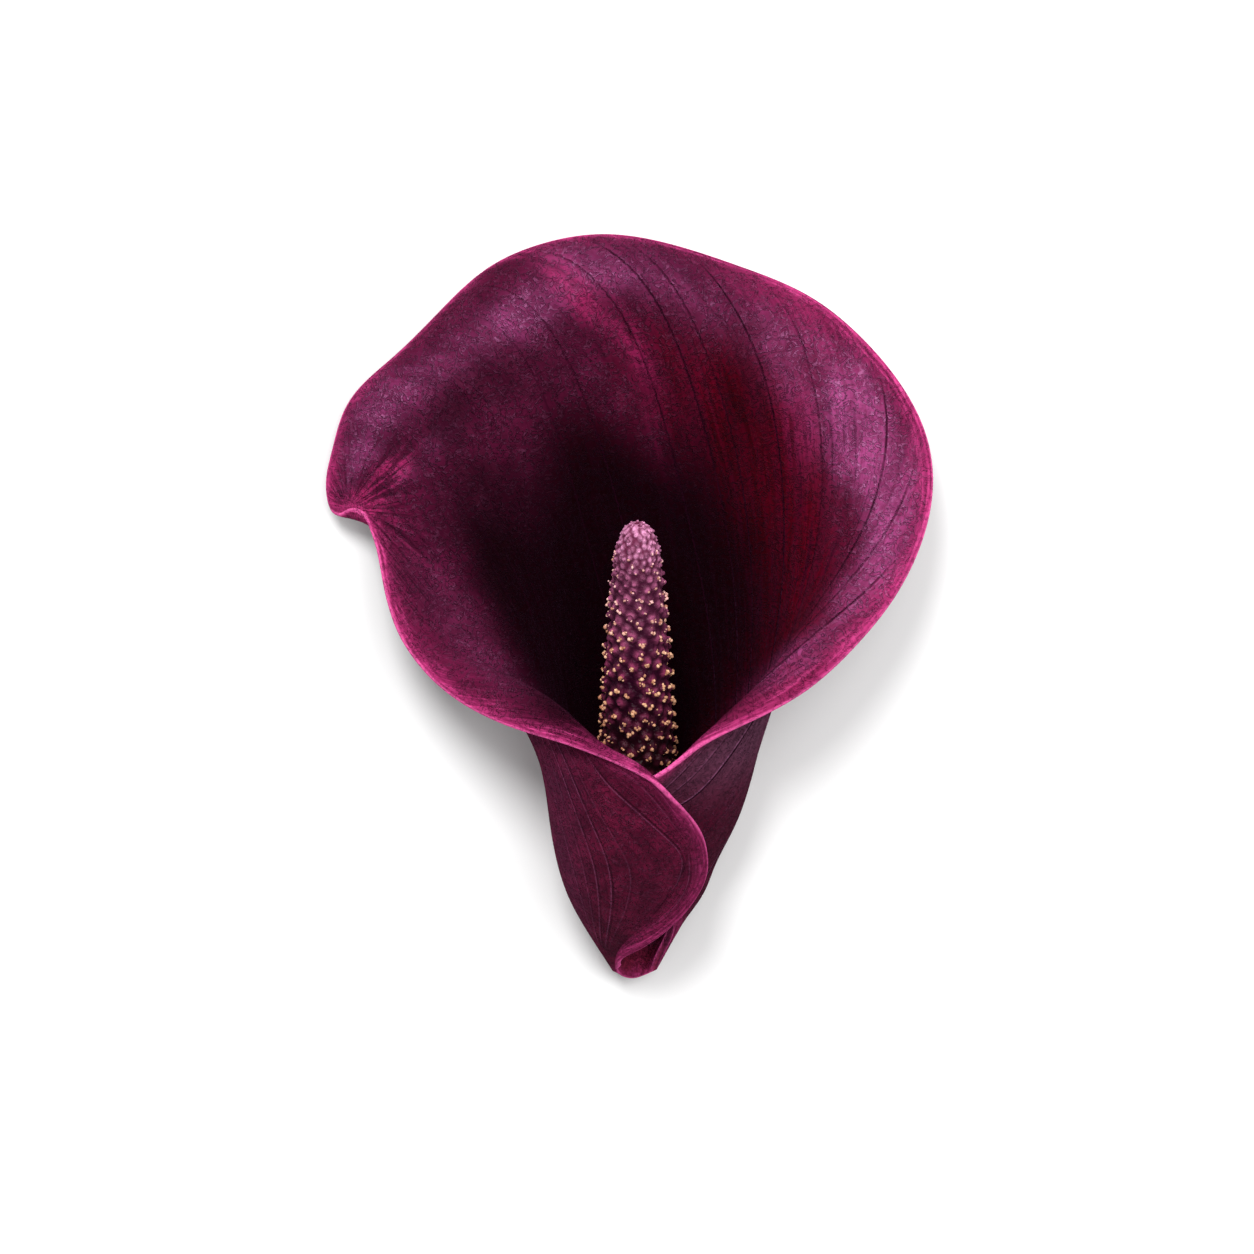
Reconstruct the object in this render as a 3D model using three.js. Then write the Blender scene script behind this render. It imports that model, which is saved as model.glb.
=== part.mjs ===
// An arum lily flower, cut from its stalk and lying on its back.
// Millimetres, +Z up. The flower's foot points to -Y and its open mouth looks up.
//
// The flower is first made in its own frame: X to the right, Y from the foot to the top
// of the margin, Z towards the open mouth. Angles around the flower's axis are degrees:
// 0 at the front, where the two sides of the sheet overlap, 90 right, 180 back, 270 left.
// Heights are measured along the axis from the foot.

import * as THREE from "three";

// Driving dimensions
const AXIS_LEAN = 30;          // the axis rises this much towards the mouth, degrees
const FOOT = [1.0, -41.5, 0.0];
const AXIS_DRIFT = 0.055;      // the tube bends to the right, mm per mm of height
const SHEET_THICKNESS = 1.1;   // near the foot
const MARGIN_THINNING = 0.35;  // taken off the thickness at the margin
const SPIRAL_GAP = 2.4;        // how far one turn of the roll lies outside the next
const INNER_TUCK = 1.5;        // how much closer the inner side lies to the axis
const SIDE_FULLNESS = 2.6;     // swell of the right side of the roll
const LEFT_HOLLOW = 1.8;       // hollow of the left side below the flare
const FOOT_BEND = 0.7;         // how far the very foot of the sheet bends to the right
const LAY_TILT = -14.04;       // turn about X that lays the flower on its back, degrees
const LAY_ROLL = 0.2;          // turn about Y for the same, degrees

// Radius of the rolled tube at each height: [height, radius]
const TUBE_PROFILE = [
  [-4.7, 2.0], [-2, 2.5], [0, 3.0], [2.3, 4.2], [5, 6.2], [8.5, 8.1],
  [15.7, 10.4], [23, 11.9], [32.6, 14.0], [45, 15.8], [60, 17.0],
];

// The sheet's outer edge, which shows at the front: [height, angle], foot to overlap
const OUTER_EDGE = [
  [0.4, 310], [0.9, 320], [2.0, 336], [4.6, 356], [7.8, 373], [11.6, 389], [14.6, 397],
  [18, 400], [21.2, 397], [25.3, 390], [29.2, 380], [32.2, 371],
];

// The sheet's inner edge, tucked under the outer one: [height, angle], foot to overlap
const INNER_EDGE = [
  [2.2, 90], [5, 68], [8, 48], [11, 29], [13.5, 11], [16, -10], [20, -26], [26, -24], [31, -14],
];

// Where the foot of the sheet starts and ends, and how its tongue hangs below the back
const FOOT_OUTER_ANGLE = 312;
const FOOT_INNER_ANGLE = 100;
const FOOT_EDGE_HEIGHT = -0.8;
const TONGUE_LENGTH = 3.9;
const TONGUE_ANGLE = 190;
const TONGUE_SPREAD = 0.78;

// The flared margin, from the overlap round by the left, the tip, the top and the right:
// [margin x, y, z, bend x, y, z, throat angle, throat height]
const RIM = [
  [3.1, -19.2, 30.2, 3.0, -17.2, 29.4, 361, 28.0],
  [-2.3, -16.5, 30.6, -2.2, -12.8, 30.6, 339, 28.7],
  [-8.2, -14.3, 29.6, -7.5, -6.6, 30.2, 322, 30.8],
  [-13.8, -12.6, 27.6, -12.0, -2.9, 27.6, 308, 32.6],
  [-19.6, -10.0, 24.6, -16.0, -1.4, 24.0, 297, 34.2],
  [-24.9, -5.9, 20.4, -19.8, -1.2, 19.6, 288, 35.2],
  [-28.7, -0.4, 18.0, -23.0, -0.6, 17.3, 280.5, 35.8],
  [-30.6, 6.2, 16.6, -24.6, 3.4, 16.4, 273, 36.4],
  [-32.0, 11.9, 15.4, -26.0, 7.6, 16.0, 267, 37.2],
  [-34.4, 14.9, 14.6, -27.8, 11.2, 16.0, 262.5, 38.2],
  [-36.5, 14.1, 13.2, -29.6, 14.4, 16.2, 259, 39.2],
  [-37.6, 16.6, 12.2, -30.8, 18.6, 17.2, 256, 40.2],
  [-36.9, 22.0, 13.0, -30.2, 24.4, 19.0, 252, 41.3],
  [-34.9, 27.8, 14.4, -27.3, 30.4, 21.4, 247, 42.5],
  [-29.3, 33.4, 15.6, -21.9, 36.2, 23.1, 240.5, 43.6],
  [-23.5, 39.1, 15.3, -16.4, 40.7, 24.7, 234, 43.9],
  [-17.4, 44.6, 16.0, -11.7, 44.0, 25.2, 223, 45.3],
  [-10.7, 47.6, 17.3, -6.6, 45.6, 25.2, 211, 46.6],
  [-3.2, 48.8, 18.0, -0.7, 45.8, 25.4, 197, 47.6],
  [6.0, 47.4, 17.6, 5.9, 44.3, 26.0, 180, 48.0],
  [14.2, 44.8, 16.1, 11.5, 41.6, 26.0, 163, 47.6],
  [22.9, 41.0, 17.4, 17.8, 38.4, 25.9, 145.5, 46.2],
  [29.8, 35.3, 19.4, 23.1, 33.8, 25.8, 131, 44.6],
  [34.3, 29.7, 21.0, 26.7, 29.1, 25.8, 121, 43.2],
  [37.1, 24.0, 22.0, 28.9, 24.0, 26.0, 113, 41.9],
  [38.0, 18.2, 23.0, 29.4, 18.6, 26.2, 106.5, 40.8],
  [36.6, 10.6, 24.0, 27.8, 12.4, 26.6, 99, 39.6],
  [33.0, 3.4, 25.2, 24.8, 7.2, 27.0, 91, 38.2],
  [28.3, -2.4, 26.2, 21.2, 2.8, 27.2, 82.5, 36.7],
  [22.2, -7.9, 27.0, 17.6, -1.8, 27.2, 71, 34.7],
  [15.6, -11.6, 27.6, 13.2, -7.0, 27.4, 54, 32.1],
  [9.2, -14.8, 27.9, 8.6, -13.0, 27.2, 30, 29.3],
  [3.2, -18.5, 27.5, 3.2, -20.0, 25.9, 2, 28.0],
];

// The knobbly spike in the middle: [height, radius] along the axis
const SPADIX_PROFILE = [
  [9, 2.5], [11, 4.2], [20, 5.0], [32, 4.9], [45, 4.2], [54.2, 3.5], [59.2, 2.9], [61.7, 2.0], [62.8, 0.8],
];
const SPADIX_TIP = 63.0;
const SPADIX_SHIFT = 0.3;      // the spike stands this far right of the foot
const SPADIX_SIDES = 24;

// The short cut end of the stalk inside the roll: it bends to the back wall
const STUB_FOOT = { height: 3.2, back: 2.12, radius: 2.0 };
const STUB_TOP = { height: 8.7, back: 0.0, radius: 2.3 };
const STUB_RINGS = 4;
const STUB_SIDES = 20;

const MARGIN_ROWS = 15;        // rows of the mesh from the foot to the margin

const lean = THREE.MathUtils.degToRad(AXIS_LEAN);
const foot = new THREE.Vector3(...FOOT);
const axis = new THREE.Vector3(0, Math.cos(lean), Math.sin(lean));
const front = new THREE.Vector3(0, -Math.sin(lean), Math.cos(lean));
const right = new THREE.Vector3(1, 0, 0);

function clamp(value, low, high) {
  return Math.min(high, Math.max(low, value));
}

// A smooth curve through values at rising positions. Each value is a list of numbers.
function smoothCurve(positions, values) {
  const count = positions.length;
  const width = values[0].length;
  const bends = values.map(() => new Array(width).fill(0));
  for (let k = 0; k < width; k += 1) {
    const factor = new Array(count).fill(0);
    const load = new Array(count).fill(0);
    for (let i = 1; i < count - 1; i += 1) {
      const before = positions[i] - positions[i - 1];
      const after = positions[i + 1] - positions[i];
      const slopeBefore = (values[i][k] - values[i - 1][k]) / before;
      const slopeAfter = (values[i + 1][k] - values[i][k]) / after;
      const pivot = 2 * (before + after) - before * factor[i - 1];
      factor[i] = after / pivot;
      load[i] = (6 * (slopeAfter - slopeBefore) - before * load[i - 1]) / pivot;
    }
    for (let i = count - 2; i > 0; i -= 1) {
      bends[i][k] = load[i] - factor[i] * bends[i + 1][k];
    }
  }
  return (position) => {
    let i = 0;
    while (i < count - 2 && position >= positions[i + 1]) {
      i += 1;
    }
    const span = positions[i + 1] - positions[i];
    const a = (positions[i + 1] - position) / span;
    const b = (position - positions[i]) / span;
    return values[i].map((value, k) => {
      const straight = a * value + b * values[i + 1][k];
      const bent = (a * a * a - a) * bends[i][k] + (b * b * b - b) * bends[i + 1][k];
      return straight + (bent * span * span) / 6;
    });
  };
}

// A broken line through [position, value] points, level beyond its ends.
function brokenLine(points) {
  const sorted = [...points].sort((one, other) => one[0] - other[0]);
  const last = sorted.length - 1;
  return (position) => {
    if (position <= sorted[0][0]) {
      return sorted[0][1];
    }
    if (position >= sorted[last][0]) {
      return sorted[last][1];
    }
    let i = 0;
    while (position > sorted[i + 1][0]) {
      i += 1;
    }
    const part = (position - sorted[i][0]) / (sorted[i + 1][0] - sorted[i][0]);
    return sorted[i][1] + part * (sorted[i + 1][1] - sorted[i][1]);
  };
}

const tubeRadius = smoothCurve(
  TUBE_PROFILE.map((point) => point[0]),
  TUBE_PROFILE.map((point) => [point[1]]),
);
const outerEdge = brokenLine([[-4.7, FOOT_OUTER_ANGLE], [-0.8, FOOT_OUTER_ANGLE], ...OUTER_EDGE]);
const innerEdge = brokenLine([[-4.7, FOOT_INNER_ANGLE], [-1.7, FOOT_INNER_ANGLE], [0.3, 98], ...INNER_EDGE]);

// How strongly a swell centred on one angle acts at another.
function around(angle, middle) {
  const away = THREE.MathUtils.degToRad(Math.min(90, Math.abs(angle - middle) * 1.5));
  return Math.cos(away) ** 2;
}

// How far the tube's centre bends to the right at its very foot.
function footBend(height) {
  return FOOT_BEND * clamp((3 - height) / 5, 0, 1);
}

// A point of the rolled tube at an angle and a height.
function tubePoint(angle, height) {
  const ramp = clamp(height / 8, 0.45, 1);
  const inward = clamp((105 - angle) / 80, 0, 1);
  const tuck = INNER_TUCK * inward * inward * (3 - 2 * inward);
  let radius = tubeRadius(height)[0] + ramp * ((SPIRAL_GAP * (angle - 180)) / 360 - tuck);
  const sideRange = clamp((height - 6) / 6, 0, 1) * clamp((26 - height) / 8, 0, 1);
  radius += SIDE_FULLNESS * around(angle, 84) * sideRange;
  radius -= LEFT_HOLLOW * around(angle, 276) * clamp((height - 18) / 12, 0, 1);
  const turn = THREE.MathUtils.degToRad(angle);
  return foot.clone()
    .addScaledVector(axis, height)
    .addScaledVector(right, AXIS_DRIFT * height + footBend(height) + radius * Math.sin(turn))
    .addScaledVector(front, radius * Math.cos(turn));
}

// Height of the sheet's foot at an angle: a rounded tongue at the back.
function footHeight(angle) {
  const away = THREE.MathUtils.degToRad((angle - TONGUE_ANGLE) * TONGUE_SPREAD);
  return FOOT_EDGE_HEIGHT - TONGUE_LENGTH * Math.cos(away);
}

function footAngle(share) {
  return FOOT_INNER_ANGLE + share * (FOOT_OUTER_ANGLE - FOOT_INNER_ANGLE);
}

// Share of the way from the inner edge (0) to the outer edge (1).
function shareAt(angle) {
  return (angle + 26) / 426;
}

// Seven guide points, foot to margin, for a column that ends on one of the two free edges.
const EDGE_STEPS = [0, 0.1, 0.29, 0.57, 0.8, 0.92, 1];
const EDGE_MIX = 0.28;

function edgeColumn(angle, height, baseAngle, mix, edge, baseShift) {
  const base = footHeight(baseAngle);
  return EDGE_STEPS.map((step) => {
    const level = base + (height - base) * step;
    const along = edge(level) + baseShift * (1 - step);
    const straight = baseAngle + (angle - baseAngle) * step;
    return tubePoint(along * (1 - mix) + straight * mix, level);
  });
}

// Seven guide points for a column that ends on the flared margin.
function rimColumn([x, y, z, bendX, bendY, bendZ, angle, height]) {
  const share = shareAt(angle);
  const back = (1 - Math.cos(THREE.MathUtils.degToRad(angle))) / 2;
  const levels = [footHeight(footAngle(share)), 3.3, 10, 20 + 2 * back];
  const column = levels.map((level) => {
    const from = innerEdge(level);
    const to = outerEdge(level);
    return tubePoint(from + share * (to - from), level);
  });
  column.push(tubePoint(angle, height));
  column.push(new THREE.Vector3(bendX, bendY, bendZ));
  column.push(new THREE.Vector3(x, y, z));
  return column;
}

function guideColumns() {
  const columns = [];
  const outerShare = shareAt(RIM[0][6]);
  OUTER_EDGE.forEach(([height, angle], i) => {
    const baseAngle = footAngle(1 + ((outerShare - 1) * i) / OUTER_EDGE.length);
    const mix = (EDGE_MIX * i) / (OUTER_EDGE.length - 1);
    columns.push(edgeColumn(angle, height, baseAngle, mix, outerEdge, baseAngle - FOOT_OUTER_ANGLE));
  });
  RIM.forEach((entry) => columns.push(rimColumn(entry)));
  const innerShare = shareAt(RIM[RIM.length - 1][6]);
  [...INNER_EDGE].reverse().forEach(([height, angle], i) => {
    const baseAngle = footAngle(innerShare * (1 - (i + 1) / INNER_EDGE.length));
    const mix = EDGE_MIX * (1 - i / (INNER_EDGE.length - 1));
    columns.push(edgeColumn(angle, height, baseAngle, mix, innerEdge, baseAngle - FOOT_INNER_ANGLE));
  });
  return columns;
}

// Weights of the seven guide points at a place between foot (0) and margin (1).
const KNOTS = [0, 0, 0, 0, 0.25, 0.5, 0.75, 1, 1, 1, 1];

function guideWeights(place) {
  const at = Math.min(place, 1 - 1e-9);
  let weights = KNOTS.slice(0, -1).map((knot, i) => (knot <= at && at < KNOTS[i + 1] ? 1 : 0));
  for (let degree = 1; degree <= 3; degree += 1) {
    weights = weights.slice(0, -1).map((weight, i) => {
      const rise = KNOTS[i + degree] - KNOTS[i];
      const fall = KNOTS[i + degree + 1] - KNOTS[i + 1];
      const up = rise > 0 ? ((at - KNOTS[i]) / rise) * weight : 0;
      const down = fall > 0 ? ((KNOTS[i + degree + 1] - at) / fall) * weights[i + 1] : 0;
      return up + down;
    });
  }
  return weights;
}

// The middle layer of the sheet: one column of points at each guide column and one halfway.
function sheetGrid() {
  const guides = guideColumns();
  const along = [0];
  for (let i = 1; i < guides.length; i += 1) {
    along.push(along[i - 1] + guides[i][6].distanceTo(guides[i - 1][6]));
  }
  const curve = smoothCurve(along, guides.map((column) => column.flatMap((point) => point.toArray())));
  const stops = [];
  for (let i = 0; i < along.length - 1; i += 1) {
    stops.push(along[i], (along[i] + along[i + 1]) / 2);
  }
  stops.push(along[along.length - 1]);
  return stops.map((stop) => {
    const flat = curve(stop);
    const column = [];
    for (let row = 0; row < MARGIN_ROWS; row += 1) {
      const weights = guideWeights(row / (MARGIN_ROWS - 1));
      const point = new THREE.Vector3();
      weights.forEach((weight, k) => {
        point.x += weight * flat[3 * k];
        point.y += weight * flat[3 * k + 1];
        point.z += weight * flat[3 * k + 2];
      });
      column.push(point);
    }
    return column;
  });
}

// The sheet with its thickness: an outer skin, an inner skin and the strip around their edge.
function makeSpathe() {
  const grid = sheetGrid();
  const columns = grid.length;
  const rows = MARGIN_ROWS;
  const positions = [];
  for (const side of [-1, 1]) {
    for (let i = 0; i < columns; i += 1) {
      for (let j = 0; j < rows; j += 1) {
        const acrossFrom = grid[Math.max(i - 1, 0)][j];
        const acrossTo = grid[Math.min(i + 1, columns - 1)][j];
        const upFrom = grid[i][Math.max(j - 1, 0)];
        const upTo = grid[i][Math.min(j + 1, rows - 1)];
        const across = acrossTo.clone().sub(acrossFrom);
        const up = upTo.clone().sub(upFrom);
        const normal = across.cross(up).normalize();
        const thickness = SHEET_THICKNESS - MARGIN_THINNING * (j / (rows - 1)) ** 4;
        const point = grid[i][j].clone().addScaledVector(normal, (side * thickness) / 2);
        positions.push(point.x, point.y, point.z);
      }
    }
  }
  const low = (i, j) => i * rows + j;
  const high = (i, j) => columns * rows + low(i, j);
  const faces = [];
  const quad = (a, b, c, d) => faces.push(a, b, c, a, c, d);
  for (let i = 0; i < columns - 1; i += 1) {
    for (let j = 0; j < rows - 1; j += 1) {
      quad(high(i, j), high(i + 1, j), high(i + 1, j + 1), high(i, j + 1));
      quad(low(i, j), low(i, j + 1), low(i + 1, j + 1), low(i + 1, j));
    }
    quad(low(i, 0), low(i + 1, 0), high(i + 1, 0), high(i, 0));
    quad(low(i, rows - 1), high(i, rows - 1), high(i + 1, rows - 1), low(i + 1, rows - 1));
  }
  for (let j = 0; j < rows - 1; j += 1) {
    quad(low(0, j), high(0, j), high(0, j + 1), low(0, j + 1));
    quad(low(columns - 1, j), low(columns - 1, j + 1), high(columns - 1, j + 1), high(columns - 1, j));
  }
  const geometry = new THREE.BufferGeometry();
  geometry.setAttribute("position", new THREE.Float32BufferAttribute(positions, 3));
  geometry.setIndex(faces);
  return geometry;
}

// A closed round body through rings: each ring has a centre and a radius, square to the axis.
function ringBody(rings, sides, tip) {
  const positions = [];
  const faces = [];
  rings.forEach(({ centre, radius }) => {
    for (let k = 0; k < sides; k += 1) {
      const turn = (2 * Math.PI * k) / sides;
      const point = centre.clone()
        .addScaledVector(right, radius * Math.cos(turn))
        .addScaledVector(front, radius * Math.sin(turn));
      positions.push(point.x, point.y, point.z);
    }
  });
  const last = rings.length - 1;
  const footIndex = positions.length / 3;
  const tipIndex = footIndex + 1;
  positions.push(...rings[0].centre.toArray(), ...tip.toArray());
  for (let k = 0; k < sides; k += 1) {
    const next = (k + 1) % sides;
    for (let ring = 0; ring < last; ring += 1) {
      const a = ring * sides + k;
      const b = ring * sides + next;
      faces.push(a, a + sides, b, b, a + sides, b + sides);
    }
    faces.push(footIndex, k, next);
    faces.push(tipIndex, last * sides + next, last * sides + k);
  }
  const geometry = new THREE.BufferGeometry();
  geometry.setAttribute("position", new THREE.Float32BufferAttribute(positions, 3));
  geometry.setIndex(faces);
  return geometry;
}

function axisPoint(height, shift, back) {
  return foot.clone()
    .addScaledVector(axis, height)
    .addScaledVector(right, shift)
    .addScaledVector(front, -back);
}

function makeSpadix() {
  const rings = SPADIX_PROFILE.map(([height, radius]) => (
    { centre: axisPoint(height, SPADIX_SHIFT, 0), radius }
  ));
  return ringBody(rings, SPADIX_SIDES, axisPoint(SPADIX_TIP, SPADIX_SHIFT, 0));
}

function makeStub() {
  const rings = [];
  for (let i = 0; i < STUB_RINGS; i += 1) {
    const part = i / (STUB_RINGS - 1);
    const height = THREE.MathUtils.lerp(STUB_FOOT.height, STUB_TOP.height, part);
    const back = THREE.MathUtils.lerp(STUB_FOOT.back, STUB_TOP.back, part);
    const radius = THREE.MathUtils.lerp(STUB_FOOT.radius, STUB_TOP.radius, part);
    rings.push({ centre: axisPoint(height, SPADIX_SHIFT, back), radius });
  }
  return ringBody(rings, STUB_SIDES, rings[STUB_RINGS - 1].centre);
}

// Lay the flower on its back and put the middle of its underside box on the origin.
function layDown(parts) {
  const box = new THREE.Box3();
  for (const { geometry } of parts) {
    geometry.rotateX(THREE.MathUtils.degToRad(LAY_TILT));
    geometry.rotateY(THREE.MathUtils.degToRad(LAY_ROLL));
    geometry.computeBoundingBox();
    box.union(geometry.boundingBox);
  }
  const centre = box.getCenter(new THREE.Vector3());
  for (const { geometry } of parts) {
    geometry.translate(-centre.x, -centre.y, -box.min.z);
    geometry.computeVertexNormals();
  }
}

const parts = [
  { name: "spathe", geometry: makeSpathe(), color: 0x4a1030, roughness: 0.42 },
  { name: "spadix", geometry: makeSpadix(), color: 0xb98aa8, roughness: 0.8 },
  { name: "stalk_stub", geometry: makeStub(), color: 0x3a1426, roughness: 0.6 },
];
layDown(parts);

const group = new THREE.Group();
group.name = "arum_lily_flower";
for (const { name, geometry, color, roughness } of parts) {
  const material = new THREE.MeshStandardMaterial({ color, roughness, metalness: 0 });
  material.name = `${name}_surface`;
  const mesh = new THREE.Mesh(geometry, material);
  mesh.name = name;
  group.add(mesh);
}

export default group;
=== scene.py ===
"""An arum lily flower, cut from its stalk and lying on its back.

The flower is shaped in its own frame, in millimetres: X to the right, Y from the foot to the top
of the margin, Z towards the open mouth. Angles around its axis are degrees, 0 at the front where
the two sides of the sheet overlap, 90 right, 180 back, 270 left. lay() then turns it onto its back.
"""

import math

import bmesh
import bpy
import numpy as np
from mathutils import Matrix, Vector, noise


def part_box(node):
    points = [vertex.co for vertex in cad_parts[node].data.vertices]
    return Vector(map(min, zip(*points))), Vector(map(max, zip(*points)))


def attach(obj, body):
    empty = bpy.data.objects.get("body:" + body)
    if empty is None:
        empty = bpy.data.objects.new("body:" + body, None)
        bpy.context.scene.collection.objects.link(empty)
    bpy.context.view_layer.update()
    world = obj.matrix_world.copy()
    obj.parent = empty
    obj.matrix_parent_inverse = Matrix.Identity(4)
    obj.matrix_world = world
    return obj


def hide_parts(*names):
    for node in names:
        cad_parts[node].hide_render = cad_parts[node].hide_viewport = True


bl_info = {
    "name": "Arum Lily Flower",
    "version": (1, 0, 0),
    "blender": (4, 5, 0),
    "location": "3D View > Sidebar > Arum Lily",
    "description": "Builds an arum lily flower piece by piece, with its floor, lights and camera",
    "category": "Add Mesh",
}

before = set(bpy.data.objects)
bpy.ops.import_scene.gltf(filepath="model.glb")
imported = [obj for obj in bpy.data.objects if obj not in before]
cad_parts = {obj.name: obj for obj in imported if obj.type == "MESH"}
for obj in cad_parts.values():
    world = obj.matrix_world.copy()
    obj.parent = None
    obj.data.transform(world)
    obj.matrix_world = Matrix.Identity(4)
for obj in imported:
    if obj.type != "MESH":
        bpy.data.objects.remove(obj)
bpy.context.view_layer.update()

MM = 0.001
SEED = 7

# The axis of the flower, in degrees and millimetres, and how the flower is laid down
AXIS_LEAN = math.radians(30)
AXIS = np.array([0.0, math.cos(AXIS_LEAN), math.sin(AXIS_LEAN)])
FRONT = np.array([0.0, -math.sin(AXIS_LEAN), math.cos(AXIS_LEAN)])
RIGHT = np.array([1.0, 0.0, 0.0])
FOOT = np.array([1.0, -41.5, 0.0])
AXIS_DRIFT = 0.055
FOOT_BEND = 0.7
LAY_TILT = -14.04
LAY_ROLL = 0.2

# The rolled tube: how far the spiral opens in a turn, and by how much it swells or draws in at an angle
SPIRAL_GAP = 2.4
INNER_TUCK = 1.5
TUCK_ANGLES = (105, 25)
SIDE_FULLNESS = 2.6
SIDE_FULLNESS_ANGLE = 84
LEFT_HOLLOW = 1.8
LEFT_HOLLOW_ANGLE = 276
SWELL_REACH = 60

# Radius of the rolled tube at each height: (height, radius)
TUBE_PROFILE = [
    (-4.7, 2.0), (-2, 2.5), (0, 3.0), (2.3, 4.2), (5, 6.2), (8.5, 8.1),
    (15.7, 10.4), (23, 11.9), (32.6, 14.0), (45, 15.8), (60, 17.0),
]

# The two free edges of the sheet, from the foot to the overlap: (height, angle)
OUTER_EDGE = [
    (0.95, 326), (2.1, 337), (4.6, 356), (7.8, 373), (11.6, 389), (14.6, 397),
    (18, 400), (21.2, 397), (25.3, 390), (29.2, 380), (32.2, 371),
]
INNER_EDGE = [
    (2.2, 86), (5, 68), (8, 48.5), (11, 30), (13.5, 13.5), (16, -5), (20, -24), (26, -24), (31, -14),
]
WIDEST_ANGLES = (-26, 400)

# Below this height the last column of the sheet runs along its inner free edge
INNER_COLUMN_HEIGHT = 16

# The foot of the sheet, which hangs below the back as a rounded tongue: angles and heights of its two
# ends, and its length
FOOT_OUTER_ANGLE = 312
FOOT_INNER_ANGLE = 114
FOOT_EDGE_HEIGHT = -0.8
INNER_FOOT_HEIGHT = -2.8
INNER_FOOT_FLARE = 10
TONGUE_LENGTH = 3.9
TONGUE_ANGLE = 190
TONGUE_SPREAD = 0.78

# The flared margin, from the overlap round by the left, the tip, the top and the right:
# (margin x, y, z, bend x, y, z, throat angle, throat height)
RIM = [
    (3.1, -19.2, 30.2, 3.0, -17.2, 29.4, 361, 28.0),
    (-2.3, -16.5, 30.6, -2.2, -12.8, 30.6, 339, 28.7),
    (-8.2, -14.3, 29.6, -7.5, -6.6, 30.2, 322, 30.8),
    (-13.8, -12.6, 27.6, -12.0, -2.9, 27.6, 308, 32.6),
    (-19.6, -10.0, 24.6, -16.0, -1.4, 24.0, 297, 34.2),
    (-24.9, -5.9, 20.4, -19.8, -1.2, 19.6, 288, 35.2),
    (-28.7, -0.4, 18.0, -23.0, -0.6, 17.3, 280.5, 35.8),
    (-30.6, 6.2, 16.6, -24.6, 3.4, 16.4, 273, 36.4),
    (-32.0, 11.9, 15.4, -26.0, 7.6, 16.0, 267, 37.2),
    (-34.4, 14.9, 14.6, -27.8, 11.2, 16.0, 262.5, 38.2),
    (-36.5, 14.1, 13.2, -29.6, 14.4, 16.2, 259, 39.2),
    (-37.6, 16.6, 12.2, -30.8, 18.6, 17.2, 256, 40.2),
    (-36.9, 22.0, 13.0, -30.2, 24.4, 19.0, 252, 41.3),
    (-34.9, 27.8, 14.4, -27.3, 30.4, 21.4, 247, 42.5),
    (-29.3, 33.4, 15.6, -21.9, 36.2, 23.1, 240.5, 43.6),
    (-23.5, 39.1, 15.3, -16.4, 40.7, 24.7, 234, 43.9),
    (-17.4, 44.6, 16.0, -11.7, 44.0, 25.2, 223, 45.3),
    (-10.7, 47.6, 17.3, -6.6, 45.6, 25.2, 211, 46.6),
    (-3.2, 48.8, 18.0, -0.7, 45.8, 25.4, 197, 47.6),
    (6.0, 47.4, 17.6, 5.9, 44.3, 26.0, 180, 48.0),
    (14.2, 44.8, 16.1, 11.5, 41.6, 26.0, 163, 47.6),
    (22.9, 41.0, 17.4, 17.8, 38.4, 25.9, 145.5, 46.2),
    (29.8, 35.3, 19.4, 23.1, 33.8, 25.8, 131, 44.6),
    (34.3, 29.7, 21.0, 26.7, 29.1, 25.8, 121, 43.2),
    (37.1, 24.0, 22.0, 28.9, 24.0, 26.0, 113, 41.9),
    (38.0, 18.2, 23.0, 29.4, 18.6, 26.2, 106.5, 40.8),
    (36.6, 10.6, 24.0, 27.8, 12.4, 26.6, 99, 39.6),
    (33.0, 3.4, 25.2, 24.8, 7.2, 27.0, 91, 38.2),
    (28.3, -2.4, 26.2, 21.2, 2.8, 27.2, 82.5, 36.7),
    (22.2, -7.9, 27.0, 17.6, -1.8, 27.2, 71, 34.7),
    (15.6, -11.6, 27.6, 13.2, -7.0, 27.4, 54, 32.1),
    (9.2, -14.8, 27.9, 8.6, -13.0, 27.2, 30, 29.3),
    (3.2, -18.5, 27.5, 3.2, -20.0, 25.9, 2, 28.0),
]
TIP_STATION = 11

# The spike in the middle: (height, radius) along the axis
SPADIX_PROFILE = [
    (9, 2.5), (11, 4.2), (20, 5.0), (32, 4.9), (45, 4.2), (54.2, 3.5), (59.2, 2.9), (61.7, 2.0),
    (62.8, 0.8),
]
SPADIX_FOOT = SPADIX_PROFILE[0][0]
SPADIX_TIP = 63.0
SPADIX_SHIFT = 0.3

# The cut end of the stalk inside the roll: height, distance behind the axis, radius; and how far its
# skin lies inside the CAD stalk
STUB_FOOT = (3.2, 2.12, 2.0)
STUB_TOP = (8.7, 0.0, 2.3)
STUB_INSET = 0.03
STUB_SIDES = 40
STUB_LEVELS = 12

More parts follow.
